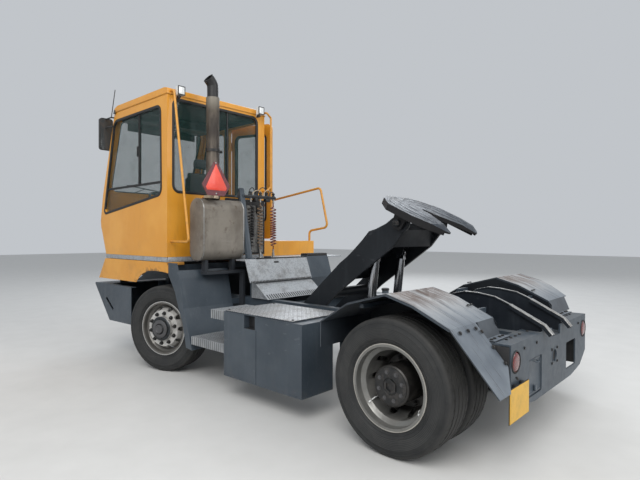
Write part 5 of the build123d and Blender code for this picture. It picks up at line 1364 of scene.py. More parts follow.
print("lining panels:", len(panels))

# %% [markdown]
# A curly lead hangs from the roof console at the rear edge of the side window. It is fixed at both ends
# inside the cab, so it is part of the fittings: a thin helix wound round a straight line.

# %% Radio lead
LEAD_TURNS = 15
LEAD_STEPS = 150
top, foot = at(3.060, 1.120, 2.860), at(3.070, 1.120, 2.330)
lead = [top + Vector((0, 0, 0.08)), top + Vector((0, 0, 0.03))]
for i in range(LEAD_STEPS + 1):
    share = i / LEAD_STEPS
    angle = 2 * math.pi * LEAD_TURNS * share
    reach = 0.013 * (1 + 0.35 * math.sin(3.1 * share * math.pi))
    lead.append(top.lerp(foot, share) + Vector((math.cos(angle) * reach, math.sin(angle) * reach, 0)))
lead.append(foot - Vector((0, 0, 0.05)))
settle([tube(lead, 0.0028, 4)], "radio_lead", "gasket", "cab", 60)
print("radio lead turns:", LEAD_TURNS)

# %% [markdown]
# The dashboard is a moulded tub. A hood shades a panel with round gauges, and rocker switches stand in a
# row. Gauges are turned bezels with a sunk face; nothing on them is lettered.

# %% Dashboard details
KNOB = [(0, 0.05), (0.018, 0.046), (0.024, 0.030), (0.020, 0.008), (0.008, 0), (0, 0)]
GAUGE = [(0.050, 0), (0.050, 0.006), (0.045, 0.010), (0.041, 0.004), (0, 0.004)]
hood = round_edges(recessed(slab((4.020, 0.400, 1.815), (4.330, 0.840, 1.905), 0), BACK, 0.012, 0.040), 0.012, 3)
dash = [hood, slab((4.030, -0.050, 1.790), (4.260, 0.330, 1.850), 0.012),
        slab((3.300, 0.150, 1.290), (3.900, 0.330, 1.620), 0.020, 3),
        tube([at(3.520, 0.240, 1.610), at(3.520, 0.240, 1.700), at(3.500, 0.240, 1.760)], 0.008, 8),
        stand(turned(KNOB, 20), shift(at(3.500, 0.240, 1.750)))]
dash += [slab((4.024, -0.020 + 0.045 * i, 1.802), (4.034, 0.012 + 0.045 * i, 1.838), 0.003) for i in range(7)]
dash += [slab((4.020, left, 1.330), (4.060, left + 0.080, 1.450), 0.006) for left in (0.440, 0.660)]
settle(dash, "dash_details", "black_plastic", "cab")
gauges = [stand(turned(GAUGE, 28), onto(at(4.064, left, 1.860), BACK)) for left in (0.500, 0.620, 0.740)]
settle(gauges, "gauges", "lamp_white", "cab")
print("gauges:", len(gauges))

# %% [markdown]
# The seat is the one soft thing here: a cushion, a back and a headrest of foam in dark cloth. Each pad
# starts as a rounded block, is remeshed into an even skin and blown up a little as cloth, so its sides
# pull in between the corners the way a sewn cover does.

# %% Padded seat
SEAT_LEFT = 0.620
PAD_VOXEL = 0.012
PAD_PRESSURE = 4.0
PAD_CAP = 0.022
PAD_FRAMES = 20
CUSHION = [
    # rear, right, low, front, left, high, radius of the corners; right and left count from the seat's middle
    (3.135, -0.225, 1.655, 3.565, 0.225, 1.725, 0.034), (3.150, 0.165, 1.685, 3.550, 0.235, 1.745, 0.026),
    (3.150, -0.235, 1.685, 3.550, -0.165, 1.745, 0.026),
]
SEAT_BACK = [
    (3.090, -0.215, 1.760, 3.165, 0.215, 2.270, 0.036), (3.100, 0.155, 1.780, 3.190, 0.225, 2.200, 0.028),
    (3.100, -0.225, 1.780, 3.190, -0.155, 2.200, 0.028), (3.095, -0.130, 2.300, 3.165, 0.130, 2.415, 0.034),
]
back_lean = about(at(3.080, 0, 1.745), math.radians(-7.4), "Y")


def rounded_pad(rear, right, low, front, left, high, radius):
    pad = slab((rear, SEAT_LEFT + right, low), (front, SEAT_LEFT + left, high), 0)
    pad.modifiers.new("corners", "BEVEL").width = radius
    pad.modifiers["corners"].segments = 4
    return apply_all(pad)


def inflate(pad):
    """Blow a pad up as cloth, and keep every point within a cap of where it began."""
    remesh = pad.modifiers.new("skin", "REMESH")
    remesh.mode = "VOXEL"
    remesh.voxel_size = PAD_VOXEL
    apply_all(pad)
    start = [vertex.co.copy() for vertex in pad.data.vertices]
    cloth = pad.modifiers.new("cloth", "CLOTH")
    cloth.settings.use_pressure = True
    cloth.settings.uniform_pressure_force = PAD_PRESSURE
    cloth.settings.effector_weights.gravity = 0
    cloth.settings.quality = 4
    for number in range(1, PAD_FRAMES + 1):
        bpy.context.scene.frame_set(number)
    apply_all(pad)
    for vertex, place in zip(pad.data.vertices, start):
        move = vertex.co - place
        if move.length > PAD_CAP:
            vertex.co = place + move.normalized() * PAD_CAP
    bpy.context.scene.frame_set(1)
    return pad


cushion_pad = joined([rounded_pad(*facts) for facts in CUSHION])
back_pad = stand(joined([rounded_pad(*facts) for facts in SEAT_BACK]), back_lean)
for pad in (cushion_pad, back_pad):
    inflate(pad)
for pad, name in ((cushion_pad, "seat_cushion"), (back_pad, "seat_back")):
    smooth = pad.modifiers.new("smooth", "SUBSURF")
    smooth.levels = smooth.render_levels = 1
    settle([pad], name, "seat_cloth", "cab", 60)
print("seat pad faces:", len(cushion_pad.data.polygons) + len(back_pad.data.polygons))

# %% [markdown]
# Under the cushion stands a suspension: a pleated rubber bellows between two pressed pans, with a lever
# at the side. Bellows are a stack of rings, which an outline that runs in and out gives when spun.

# %% Seat base
bellows = [(0, 0), (0.150, 0.0)]
for i in range(6):
    bellows += [(0.185, 0.026 + 0.050 * i), (0.150, 0.051 + 0.050 * i)]
back_shell = [slab((3.070, SEAT_LEFT - 0.200, 1.700), (3.088, SEAT_LEFT + 0.200, 2.240), 0.008)]
back_shell += [tube([at(3.105, SEAT_LEFT + y, up) for up in (2.200, 2.360)], 0.007, 8) for y in (-0.050, 0.050)]
seat_frame = settle([
    slab((3.130, SEAT_LEFT - 0.200, 1.279), (3.520, SEAT_LEFT + 0.200, 1.300), 0.004),
    slab((3.110, SEAT_LEFT - 0.220, 1.615), (3.560, SEAT_LEFT + 0.220, 1.650), 0.012, 3),
    stand(joined(back_shell), back_lean),
    stand(turned(bellows + [(0, bellows[-1][1])], 32), shift(at(3.325, SEAT_LEFT, 1.300))),
    tube([at(3.480, SEAT_LEFT - 0.215, 1.632), at(3.520, SEAT_LEFT - 0.250, 1.640),
          at(3.600, SEAT_LEFT - 0.250, 1.650)],
         0.007, 8),
], "seat_base", "black_plastic", "cab")
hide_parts("seat")
print("seat base faces:", len(seat_frame.data.polygons))

# %% [markdown]
# The silencer is a flat oval can of rolled sheet. Its ends are flat lids, welded on with a pale bead
# at the left and folded over in a bright rim at the right. The bead and the rim are rings that follow
# the can's outline, built the same way as a gasket.

# %% Silencer seams and lids
CAN_AT = (2.600, 1.577)
CAN_HALF = (0.125, 0.337)
CAN_ROUND = 0.118
CAN_LEFT = (0.460, 1.005)


def can_corners(left, proud):
    return [at(CAN_AT[0] + a * (CAN_HALF[0] + proud), left, CAN_AT[1] + b * (CAN_HALF[1] + proud))
            for a, b in ((1, 1), (-1, 1), (-1, -1), (1, -1))]


def can_ring(left, half_width, proud):
    """A band round the can, at a place along it."""
    return hollow_ring(can_corners(left + half_width, proud), CAN_ROUND + proud - 0.001, 9, proud + 0.004,
                       (0, -2 * half_width, 0))


def can_lid(left, outwards):
    """A flat lid that bulges by a few millimetres, as a lid under heat and pressure does."""
    lid = rounded_face(can_corners(left, -0.001), CAN_ROUND, 9)
    extrude((0, outwards * 0.006, 0))
    for thickness, rise in ((0.008, 0.002), (0.024, 0.003), (0.030, 0.002)):
        bpy.ops.mesh.inset(thickness=thickness)
        bpy.ops.transform.translate(value=(0, outwards * rise, 0))
    close_skin()
    return lid


settle([can_lid(CAN_LEFT[0] + 0.002, -1), can_lid(CAN_LEFT[1] - 0.002, 1)], "silencer_lids", "exhaust_metal",
       smooth=60)
beads = joined([can_ring(0.998, 0.0045, 0.0035), can_ring(0.4675, 0.0070, 0.0030)])
settle([round_edges(beads, 0.0012, 1)], "silencer_seams", "bolt_steel", smooth=40)
print("silencer rings: 2")

# %% [markdown]
# The exhaust stack is a pipe with a black elbow pushed over its top, whose mouth looks up and out. The
# pipe is spun; the elbow is a tube along a curve, with its end face inset and pushed far in.

# %% Exhaust stack
STACK_X, STACK_Y = 2.600, 0.800
PIPE = [(0.0790, 1.915), (0.0790, 1.949), (0.0735, 1.957), (0.0715, 2.430), (0.0715, 2.930), (0.0735, 2.936),
        (0.0735, 3.030), (0.0690, 3.033), (0.055, 3.031)]
ELBOW = [(0.000, 3.005), (0.000, 3.120), (0.004, 3.190), (0.060, 3.236)]
CLAMP_UP = 2.449


def stack_elbow():
    points = [at(STACK_X, STACK_Y + out, up) for out, up in ELBOW]
    elbow = tube(points, 0.0610, 24)
    mouth_way = (points[-1] - points[-2]).normalized()
    mark(elbow, "FACE", lambda centre, normal: (centre - points[-1]).length < 0.05 and normal.dot(mouth_way) > 0.9)
    bpy.ops.mesh.inset(thickness=0.005)
    extrude(-mouth_way * 0.050)
    leave_edit()
    return elbow


stack = settle([stand(turned(PIPE, 48), shift(at(STACK_X, STACK_Y, 0))), stack_elbow()], "exhaust_pipe", "stack_metal",
               smooth=40)
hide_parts("exhaust_stack")
clamp = [stand(turned([(0.0710, -0.014), (0.0800, -0.014), (0.0800, 0.014), (0.0710, 0.014)], 40, closed=True),
               shift(at(STACK_X, STACK_Y, CLAMP_UP))),
         stand(hexagon(0.008, 0.010, 0.011), onto(at(STACK_X - 0.016, STACK_Y - 0.100, CLAMP_UP), BACK)),
         slab((STACK_X, STACK_Y - 0.112, 2.440), (STACK_X + 0.262, STACK_Y - 0.092, 2.458), 0.003)]
clamp += [slab((STACK_X - 0.006 + step, STACK_Y - 0.120, 2.436), (STACK_X + 0.006 + step, STACK_Y - 0.076, 2.462))
          for step in (0.010, -0.010)]
settle(clamp, "stack_clamp", "hub_black", smooth=40)
print("stack top:", round(max((vertex.co.z for vertex in stack.data.vertices)), 3))

# %% [markdown]
# The slow-vehicle board is a cut triangle: a bright red triangle inside a dull dark border, on a bent
# bracket. The bright one is a flat shape given a thickness, proud of the board.

# %% Warning board
BOARD_AHEAD = 2.370
BRIGHT = [(0.922, 2.268), (1.046, 2.020), (1.030, 1.990), (0.797, 1.990), (0.782, 2.020)]
settle([cut_plate([at(BOARD_AHEAD + 0.001, y, z) for y, z in BRIGHT], (-0.004, 0, 0), 0.0012)], "warning_centre",
       "red_board")
settle([slab((2.372, 0.885, 1.905), (2.384, 0.940, 1.942)), slab((2.392, 0.880, 1.914), (2.560, 0.945, 1.945), 0.004)],
       "warning_bracket", "beige_paint")
spread(hexagon(0.006, 0.005, 0.009), "warning_bolts",
       [onto(at(2.3695, y, z), BACK) for y, z in ((0.915, 1.955), (0.922, 2.277))], "bolt_steel")
print("warning board corners:", len(BRIGHT))

# %% [markdown]
# The header bar carries palm couplings, valves and short jumper hoses that loop above the coils. Jumpers
# are thin tubes with both ends in the bar, made like the coiled hoses but without turns.

# %% Couplings and jumpers on the header bar
COUPLING = [(0, 0.044), (0.016, 0.044), (0.019, 0.040), (0.019, 0.028), (0.014, 0.025), (0.014, 0.012),
            (0.020, 0.010), (0.020, 0.000), (0, 0.000)]
JUMPERS = {
    # left where it starts, left where it ends, how high it loops
    "hose_black": [(0.290, 0.190, 0.085), (0.150, 0.000, 0.095), (-0.030, -0.118, 0.055)],
    "beige_paint": [(0.236, 0.070, 0.060), (0.060, -0.060, 0.070)],
}


def jumper(start, end, rise):
    a, b = at(2.606, start, 1.992), at(2.612, end, 1.992)
    return tube([a, a + Vector((-0.004, 0, rise * 0.7)), a.lerp(b, 0.5) + Vector((-0.018, 0, rise * 1.25)),
                 b + Vector((0.004, 0, rise * 0.7)), b], 0.0055)


fittings = [stand(turned(COUPLING, 20), shift(at(2.610, left, 1.9955))) for left in (0.254, 0.106, -0.105, 0.005)]
fittings += slabs(0.006, ((2.580, 0.150, 1.920), (2.640, 0.205, 1.962)),
                  ((2.582, -0.030, 1.926), (2.638, 0.035, 1.962)))
settle(fittings + [slab((2.582, -0.125, 1.968), (2.590, 0.370, 1.990))], "header_fittings", "hub_black")
for colour, loops in JUMPERS.items():
    settle([jumper(*loop) for loop in loops], f"jumpers_{colour}", colour, smooth=60)
print("jumpers:", sum(len(loops) for loops in JUMPERS.values()))

# %% [markdown]
# The rear crossmember is the tractor's bumper. It carries round lamps behind its holes, a closed hatch, a
# blank number plate on a bracket, and rows of bolts along its flange.

# %% Lamps in the crossmember
REAR_FACE = -0.709
LENS = [(0, 0.014), (0.030, 0.0135), (0.050, 0.0115), (0.062, 0.006), (0.066, 0.000), (0.062, -0.004), (0, -0.004)]
BEZEL = [(0.074, -0.006), (0.074, 0.007), (0.070, 0.011), (0.066, 0.008), (0.066, -0.006)]
lamp_frames = [onto(at(REAR_FACE + 0.004, left, 0.700), BACK) for left in (0.790, -0.790)]
settle([stand(turned(LENS, 40), spot) for spot in lamp_frames], "tail_lenses", "lamp_red", smooth=40)
settle([stand(turned(BEZEL, 40, closed=True), spot) for spot in lamp_frames], "tail_bezels", "gasket", smooth=40)
print("tail lamps: 2")

# %% Hatch, plate and bolts
HITCH_UP = 0.603
HITCH_RING = [(0.0465, -0.002), (0.0465, 0.0015), (0.048, 0.003), (0.056, 0.003), (0.058, 0.0015), (0.058, -0.002)]
lid = recessed(slab((REAR_FACE + 0.006, 0.296, 0.411), (REAR_FACE + 0.016, 0.548, 0.659), 0), BACK, 0.016, 0.005)
hasp = slab((REAR_FACE - 0.006, 0.405, 0.428), (REAR_FACE + 0.008, 0.435, 0.470), 0.003)
loop = tube([at(REAR_FACE + out, left, up) for out, left, up in ((0.004, 0.395, 0.640), (-0.020, 0.395, 0.635),
                                                                  (-0.020, 0.445, 0.635), (0.004, 0.445, 0.640))],
            0.005, 8)
settle([round_edges(lid, 0.002), hasp, loop], "crossmember_hatch", "dark_paint")
board = recessed(slab((-0.741, 0.640, 0.350), (-0.738, 0.965, 0.560), 0), BACK, 0.006, -0.001)
settle([round_edges(board, 0.0006, 1)], "blank_number_plate", "plate_yellow")
bracket = [slab((-0.738, 0.635, 0.345), (-0.733, 0.970, 0.565))]
for left in (0.700, 0.820):
    bracket += slabs(0.002, ((-0.736, left, 0.555), (REAR_FACE + 0.002, left + 0.030, 0.566)),
                     ((REAR_FACE - 0.004, left, 0.500), (REAR_FACE + 0.002, left + 0.030, 0.566)))
settle(bracket, "number_plate_bracket", "gasket")
spots = [onto(at(REAR_FACE, y, HITCH_UP + z), BACK) for y in (-0.062, 0.062) for z in (-0.052, 0.052)]
for side in SIDE_NAME:
    spots += [onto(at(REAR_FACE + 0.090, side * left, 0.820), UP) for left in (0.330, 0.480, 0.560, 0.640, 0.720)]
    spots += [onto(at(REAR_FACE, side * left, 0.765), BACK) for left in (0.400, 0.640)]
spread(hexagon(0.0090, 0.007, 0.0125), "crossmember_bolts", spots, "hub_black")
settle([stand(turned(HITCH_RING, 40, closed=True), onto(at(REAR_FACE, 0, HITCH_UP), BACK))], "hitch_ring", "dark_paint",
       smooth=40)
print("crossmember bolts:", len(spots))

# %% [markdown]
# The trailer slides up two ramps before its king pin locks, so their tops are polished bright. A hard
# wearing strip is welded on each bar, with weld beads along its foot.

# %% Ramp strips and welds
RAMP_LEFT = 0.227
RAMP_LINE = [(-0.767, 0.800), (-0.712, 0.862), (-0.456, 0.991), (-0.338, 1.040), (-0.200, 1.060), (-0.090, 1.064),
             (0.010, 1.040), (0.090, 0.985)]
strips, ramp_welds = [], []
for left in (RAMP_LEFT, -RAMP_LEFT):
    strips.append(round_edges(swept_bar(RAMP_LINE[:3], left, 0.027, -0.001, 0.004), 0.0015))
    strips.append(round_edges(swept_bar(RAMP_LINE[2:], left, 0.012, -0.001, 0.003), 0.0010))
    ramp_welds += [tube([at(x, left + step, 0.754) for x in (-0.680, -0.400, -0.100, 0.110)], 0.005)
                   for step in (-0.007, 0.007)]
settle(strips, "ramp_strips", "worn_steel")
settle(ramp_welds, "ramp_welds", "dark_paint", smooth=60)
print("ramp strips:", len(strips))

# %% [markdown]
# The mudguards are folded plate on angle brackets. Along the flap, the edge and the feet run bolts, and
# a welded lip stiffens the edges. The lip is a bar swept along the folds.

# %% Mudguard lips and bolts
GUARD_LINE = [(0.588, 0.867), (0.327, 1.028), (-0.006, 1.120), (-0.215, 1.062), (-0.479, 0.939)]
GUARD_OUT = 1.240
GUARD_IN = 0.600
GUARD_BRACKETS = (0.290, -0.330)


def guard_up(ahead):
    """The height of the guard's top at a place along the tractor."""
    for (xa, za), (xb, zb) in zip(GUARD_LINE, GUARD_LINE[1:]):
        if xb <= ahead <= xa:
            return za + (zb - za) * (xa - ahead) / (xa - xb)


lips, spots, brackets, walls = [], [], [], []
for side in SIDE_NAME:
    outer = GUARD_LINE if side > 0 else GUARD_LINE[:4]
    lips.append(swept_bar(outer[::-1], side * (GUARD_OUT - 0.004), 0.003, -0.016, 0.001))
    lips.append(swept_bar(GUARD_LINE[::-1], side * (GUARD_IN + 0.004), 0.003, -0.014, 0.001))
    walls.append(swept_bar([(-0.505, 0.909)] + GUARD_LINE[::-1], side * (GUARD_IN + 0.0045), 0.0025, -0.150, -0.004,
                           upright=True))
    for ahead in GUARD_BRACKETS:
        top = guard_up(ahead)
        spots += [onto(at(ahead, side * left, top + 0.0085), UP) for left in (0.630, 0.680)]
        brackets.append(slab((ahead - 0.020, side * 0.605, top - 0.056), (ahead + 0.020, side * 1.120, top - 0.024),
                             0.003))
    spots += [onto(at(-0.566, side * left, 0.8285), UP) for left in (0.650, 0.700, 0.780, 0.830)]
flap_slope = Vector((-0.359, 0, 0.311)).normalized()
flap_spots = [at(-0.479 - 0.311 * share, 0.905, 0.939 - 0.359 * share) for share in (0.15, 0.4, 0.65, 0.88)]
flap_spots += [at(-0.505, left, 0.909) for left in (0.950, 1.060, 1.170)]
spots += [onto(spot + flap_slope * 0.008, flap_slope) for spot in flap_spots]
settle(lips, "guard_lips", "dark_paint")
spread(hexagon(0.0095, 0.008, 0.0140), "guard_bolts", spots, "hub_black")
print("guard bolts:", len(spots))

# %% [markdown]
# Brackets under the guards hold them to the frame, and a wall closes each guard's inner side, seen from
# below and behind. Near-black plates stand at the crossmember's ends and behind its window as painted shade
# inside it.

# %% Guard brackets, walls and dark plates
settle(brackets, "guard_brackets", "dark_paint")
settle(walls, "guard_walls", "black_paint")
# painted shade: near-black plates at the crossmember's ends and behind its window stand for the shade inside it
settle([slab((-0.700, side * 0.868, 0.565), (-0.560, side * 0.880, 0.806), 0.003) for side in SIDE_NAME],
       "crossmember_ends", "gasket")
settle(slabs(0.002, ((-0.695, -0.606, 0.430), (-0.600, -0.600, 0.690)),
              ((-0.612, -0.355, 0.480), (-0.606, -0.200, 0.700))),
       "crossmember_shade_plates", "gasket")
print("guard brackets:", len(brackets))

# %% [markdown]
# The fifth wheel is a cast plate. Grease grooves run round its bearing face, its horns guide the king
# pin in, and a lock closes behind the pin. Pieces here are modelled level and then tilted like the plate.

# %% Fifth wheel face
HEAD_PIN = (0.460, 1.625)
PLATE_TOP = 0.131
PLATE_UNDER = 0.093
PLATE_TILT = shift(at(HEAD_PIN[0], 0, HEAD_PIN[1])) @ turn(math.radians(-25.5), "Y")
RIDGE_HALF, RIDGE_RISE = 0.004, 0.0022
RIDGES = [
    # forward and left from the head pin
    [(0.300, 0.060), (0.300, 0.180), (0.230, 0.290), (0.090, 0.385), (-0.110, 0.395), (-0.250, 0.345)],
    [(0.235, 0.050), (0.230, 0.150), (0.160, 0.240), (0.040, 0.300), (-0.130, 0.310), (-0.280, 0.300)],
    [(0.150, 0.060), (0.140, 0.120), (0.060, 0.175), (-0.060, 0.180), (-0.180, 0.215), (-0.285, 0.262)],
]
RELEASE = [(-0.020, -0.110, 0.075), (-0.020, -0.240, 0.075), (0.010, -0.300, 0.070), (0.020, -0.330, 0.060)]
NIPPLE = [(0, 0.0055), (0.010, 0.0055), (0.012, 0.004), (0.012, 0), (0, 0)]
GREASED = [(0.268, 0.0), (0.190, 0.330), (0.190, -0.330), (-0.200, 0.270), (-0.200, -0.270)]
ridges = [tube([Vector((u, side * v, PLATE_TOP - RIDGE_HALF + RIDGE_RISE)) for u, v in ridge], RIDGE_HALF)
          for side in SIDE_NAME for ridge in RIDGES]
settle([stand(joined(ridges), PLATE_TILT)], "plate_ridges", "plate_steel", "fifth_wheel", 60)
lock = [tube([Vector(point) for point in RELEASE], 0.007, 8),
        stand(bar(0.014, 0.150, 0.002, 16), shift((0.060, -0.075, PLATE_UNDER - 0.012)) @ turn(math.radians(-90), "X"))]
lock += copies_of(hexagon(0.010, 0.009, 0.014),
                  [shift((u, side * v, PLATE_UNDER)) @ turn(math.pi, "X") for side in SIDE_NAME
                   for u, v in ((0.200, 0.120), (0.200, 0.230), (-0.180, 0.320), (0.020, 0.200))])
settle([stand(joined(lock), PLATE_TILT)], "plate_lock", "hub_black", "fifth_wheel", 40)
grease_points = copies_of(turned(NIPPLE, 16), [shift((u, v, PLATE_TOP - 0.004)) for u, v in GREASED])
settle([stand(joined(grease_points), PLATE_TILT)], "grease_points", "hub_black", "fifth_wheel", 40)
print("ridges:", len(ridges), "grease points:", len(GREASED))

# %% [markdown]
# The boom turns on two big pins at its foot and carries the plate on two more. Each head pin is kept by a
# keeper plate with two bolts, rings line the bosses, and weld beads run along the cross plates. Each
# cheek swells behind the head, where the load turns into it: a flat shape set on its upper edge.

# %% Boom pins, welds and shoulders
BOOM_PIVOT = (1.720, 0.610)
CHEEK_OUT = 0.350
CHEEK_PLATE = 0.016
KEEPER_LEFT = CHEEK_OUT + 0.062
BOOM_EDGE = [(0.545, 1.666), (1.142, 1.253), (1.617, 0.835)]
SHOULDER = [(0.600, 1.627), (0.720, 1.577), (0.798, 1.556), (0.875, 1.475), (0.994, 1.366), (1.066, 1.306),
            (1.050, 1.290), (0.640, 1.575)]
keepers, boom_rings = [], []
for side in SIDE_NAME:
    ahead, up = HEAD_PIN
    keepers.append(slab((ahead - 0.030, side * KEEPER_LEFT, up - 0.018),
                        (ahead + 0.030, side * (KEEPER_LEFT + 0.006), up + 0.018)))
    keepers += [stand(hexagon(0.0075, 0.007, 0.011),
                      onto(at(ahead + step, side * (KEEPER_LEFT + 0.006), up), (0, side, 0)))
                for step in (-0.018, 0.018)]
    for (ahead, up), radius, left in ((BOOM_PIVOT, 0.058, CHEEK_OUT), (HEAD_PIN, 0.082, CHEEK_OUT + 0.004)):
        ring = turned([(radius - 0.014, -0.001), (radius - 0.014, 0.003), (radius, 0.003), (radius, -0.001)], 40,
                      closed=True)
        boom_rings.append(stand(ring, onto(at(ahead, side * (left - 0.0005), up), (0, side, 0))))
    boom_rings.append(tube([at(x, side * 0.322, z - 0.030) for x, z in BOOM_EDGE], 0.006, order=2))
settle(keepers, "head_pin_keepers", "hub_black", "boom")
settle(boom_rings, "boom_bosses", "black_paint", "boom", 40)
settle([cut_plate([at(x, left, z) for x, z in SHOULDER], (0, -CHEEK_PLATE, 0), 0.002) for left in (0.3485, -0.3325)],
       "boom_shoulders", "black_paint", "boom")
print("boom rings:", len(boom_rings), "shoulders: 2")

# %% [markdown]
# Each lift cylinder has a screwed gland with a wiper seal at its mouth, a port near its head and a band
# at its foot. They are turned parts along the cylinder's own line.

# %% Cylinder glands and ports
CYL_TOP_PIN = (0.810, 1.355)
CYL_LOW_PIN = (0.916, 0.420)
CYL_LEFT = 0.220
GLAND = [(0.0480, 0.4995), (0.0490, 0.5012), (0.062, 0.5012), (0.066, 0.5005), (0.0685, 0.497), (0.0690, 0.462),
         (0.0665, 0.458)]
SEAL = [(0.0435, 0.4990), (0.0430, 0.5012), (0.0465, 0.5016), (0.0480, 0.5012), (0.0480, 0.4990)]
COLLAR = [(0.0620, 0.052), (0.0655, 0.056), (0.0655, 0.078), (0.0620, 0.082)]
PORT = [(0, 0.026), (0.013, 0.026), (0.015, 0.022), (0.015, 0.0), (0, 0)]
glands, seals = [], []
for left in (CYL_LEFT, -CYL_LEFT):
    low, top = [at(ahead, left, up) for ahead, up in (CYL_LOW_PIN, CYL_TOP_PIN)]
    line = onto(low, top - low)
    port = stand(turned(PORT, 12), shift((0, 0, 0.430)) @ turn(math.radians(90), "Y") @ shift((0, 0, 0.060)))
    glands += [stand(piece, line) for piece in (turned(GLAND, 40), turned(COLLAR, 40), port)]
    seals.append(stand(turned(SEAL, 40, closed=True), line))
settle(glands, "cylinder_glands", "black_paint", "lift_barrels", 40)
settle(seals, "cylinder_seals", "gasket", "lift_barrels", 40)
print("cylinders:", len(seals))

# %% [markdown]
# The way up behind the cab is galvanised. The upper apron has a hand slot, its lower edge is cut into
# teeth so that boots grip, and the lower apron has pressed ribs. Teeth and ribs are small bars, one
# modelled and the rest copied along the edge.

# %% Apron teeth, ribs and slot
PLATES_LEFT = 0.585
PLATES_RIGHT = -0.385
UPPER_APRON = ((2.300, 1.250), (2.212, 1.000))
LOWER_APRON = ((2.250, 1.006), (2.020, 0.828))
TEETH = 46
RIBS = 26


def apron_frame(line, share, left):
    """A frame on a sloping apron, with Z out of its face and X down its slope."""
    (xa, za), (xb, zb) = line
    down = Vector((xb - xa, 0, zb - za)).normalized()
    return axes(down, (0, 1, 0), (down.z, 0, -down.x), at(xa + (xb - xa) * share, left, za + (zb - za) * share))


def apron_bars(line, share, left, size, count, span):
    """Small bars side by side on an apron: size is (length down the slope, width, thickness)."""
    half = Vector(size) / 2
    place = apron_frame(line, share, left)
    face_way = place.col[2].to_3d()
    piece = stand(block(-half, half, 0), place)
    mark(piece, "FACE", lambda centre, normal: normal.dot(face_way) > 0.9)
    bpy.ops.mesh.inset(thickness=min(size[:2]) * 0.22)
    bpy.ops.transform.translate(value=face_way * size[2] * 0.4)
    leave_edit()
    return copies_of(piece, [shift((0, span / (count - 1) * i, 0)) for i in range(count)])


teeth = apron_bars(UPPER_APRON, 0.975, PLATES_RIGHT + 0.020, (0.020, 0.010, 0.007), TEETH,
                   PLATES_LEFT - PLATES_RIGHT - 0.040)
ribs = apron_bars(LOWER_APRON, 0.86, PLATES_RIGHT + 0.030, (0.064, 0.010, 0.006), RIBS, 0.440 - PLATES_RIGHT)
settle(teeth + ribs, "apron_teeth", "hub_black")
# painted shade: the hand slot is a near-black rounded slab on the apron, standing for the shade in the hole
slot = round_corners(block((-0.010, -0.035, -0.002), (0.010, 0.035, 0.002), 0), 2, 0.007, 4)
slot_frame = apron_frame(UPPER_APRON, 0.16, 0.139)
slot_out = slot_frame.col[2].to_3d()
slot_turn = Vector(UP).rotation_difference(slot_out).to_matrix().to_4x4()
settle([stand(slot, shift(slot_frame.translation + slot_out * 0.001) @ slot_turn)], "apron_slot", "gasket")
print("teeth:", TEETH, "ribs:", RIBS)

# %% [markdown]
# A black rubber mat lies on the step box and black chequer edging runs along the deck, both scuffed by
# boots. The tool box is closed with tread plate. The plate's lozenges are a pattern in its material; the
# box's rim, its cut-out and its corner bolts are modelled. Near-black sheets inside the cut-out are painted shade.

# %% Mat, deck edging and tool box


def ribbed_mat(low, high, count):
    """A rubber mat with raised ribs across it."""
    step = (high[1] - low[1]) / count
    middles = [low[1] + step * (i + 0.5) for i in range(count)]
    return slabs(0.003, (low, high)) + slabs(0, *[((low[0] + 0.008, left - step * 0.22, high[2] - 0.001),
                                                   (high[0] - 0.008, left + step * 0.22, high[2] + 0.003))
                                                  for left in middles])


settle(ribbed_mat((2.296, -0.760, 1.262), (2.410, -0.390, 1.292), 18), "step_mat", "gasket")
settle(ribbed_mat((2.296, -0.380, 1.249), (2.325, 0.420, 1.256), 40), "deck_edging", "hub_black")
settle([slab((2.330, -0.300, 1.249), (2.360, 0.380, 1.262), 0.003),
        slab((2.350, 0.160, 1.249), (2.400, 0.230, 1.275), 0.004)],
       "deck_angle", "black_paint")
sheet = round_corners(slab((0.934, 0.555, 0.8115), (1.846, 1.193, 0.8165), 0), 2, 0.020, 4)
settle([round_edges(sheet, 0.001, 1)], "tool_box_lid", "chequer")
spread(hexagon(0.0085, 0.006, 0.0125), "lid_bolts",
       [onto(at(x, y, 0.8165), UP) for x in (0.965, 1.815) for y in (0.600, 1.160)], "hub_black")
# painted shade: near-black sheets inside the tool box's cut-out
settle(slabs(0.001, ((1.402, 1.136, 0.600), (1.548, 1.142, 0.812)), ((1.402, 1.140, 0.676), (1.548, 1.192, 0.684))),
       "tool_box_inside", "gasket")
box_trim = slabs(0.002, ((0.8235, 1.196, 0.792), (1.398, 1.2025, 0.803)),
                 ((1.552, 1.196, 0.792), (1.8495, 1.2025, 0.803)),
                 ((0.820, 0.824, 0.205), (0.826, 1.198, 0.215)))
box_trim += slabs(0.0006, ((0.8215, 1.1990, 0.214), (1.380, 1.2012, 0.219)),
                  ((1.390, 1.1990, 0.214), (1.8490, 1.2012, 0.219)))
settle(box_trim, "tool_box_trim", "dark_paint")
print("mat ribs: 18, edging ribs: 40, tool box pieces: 4")

# %% [markdown]
# The side steps are galvanised gratings: a rim with bars across it, copied along the step. The dark gap
# between the steps shows a bracket. On the right hangs the fuel tank. Two straps run over it, each bent
# from short links round its edges, and a cap closes its neck.

# %% Step gratings, tank straps and cap
FUEL_CAP = [(0, 0.026), (0.040, 0.026), (0.047, 0.021), (0.049, 0.000), (0.044, -0.004), (0, -0.004)]
STRAP_HALF = 0.025
BEND = 0.071
BEND_LINKS = 6


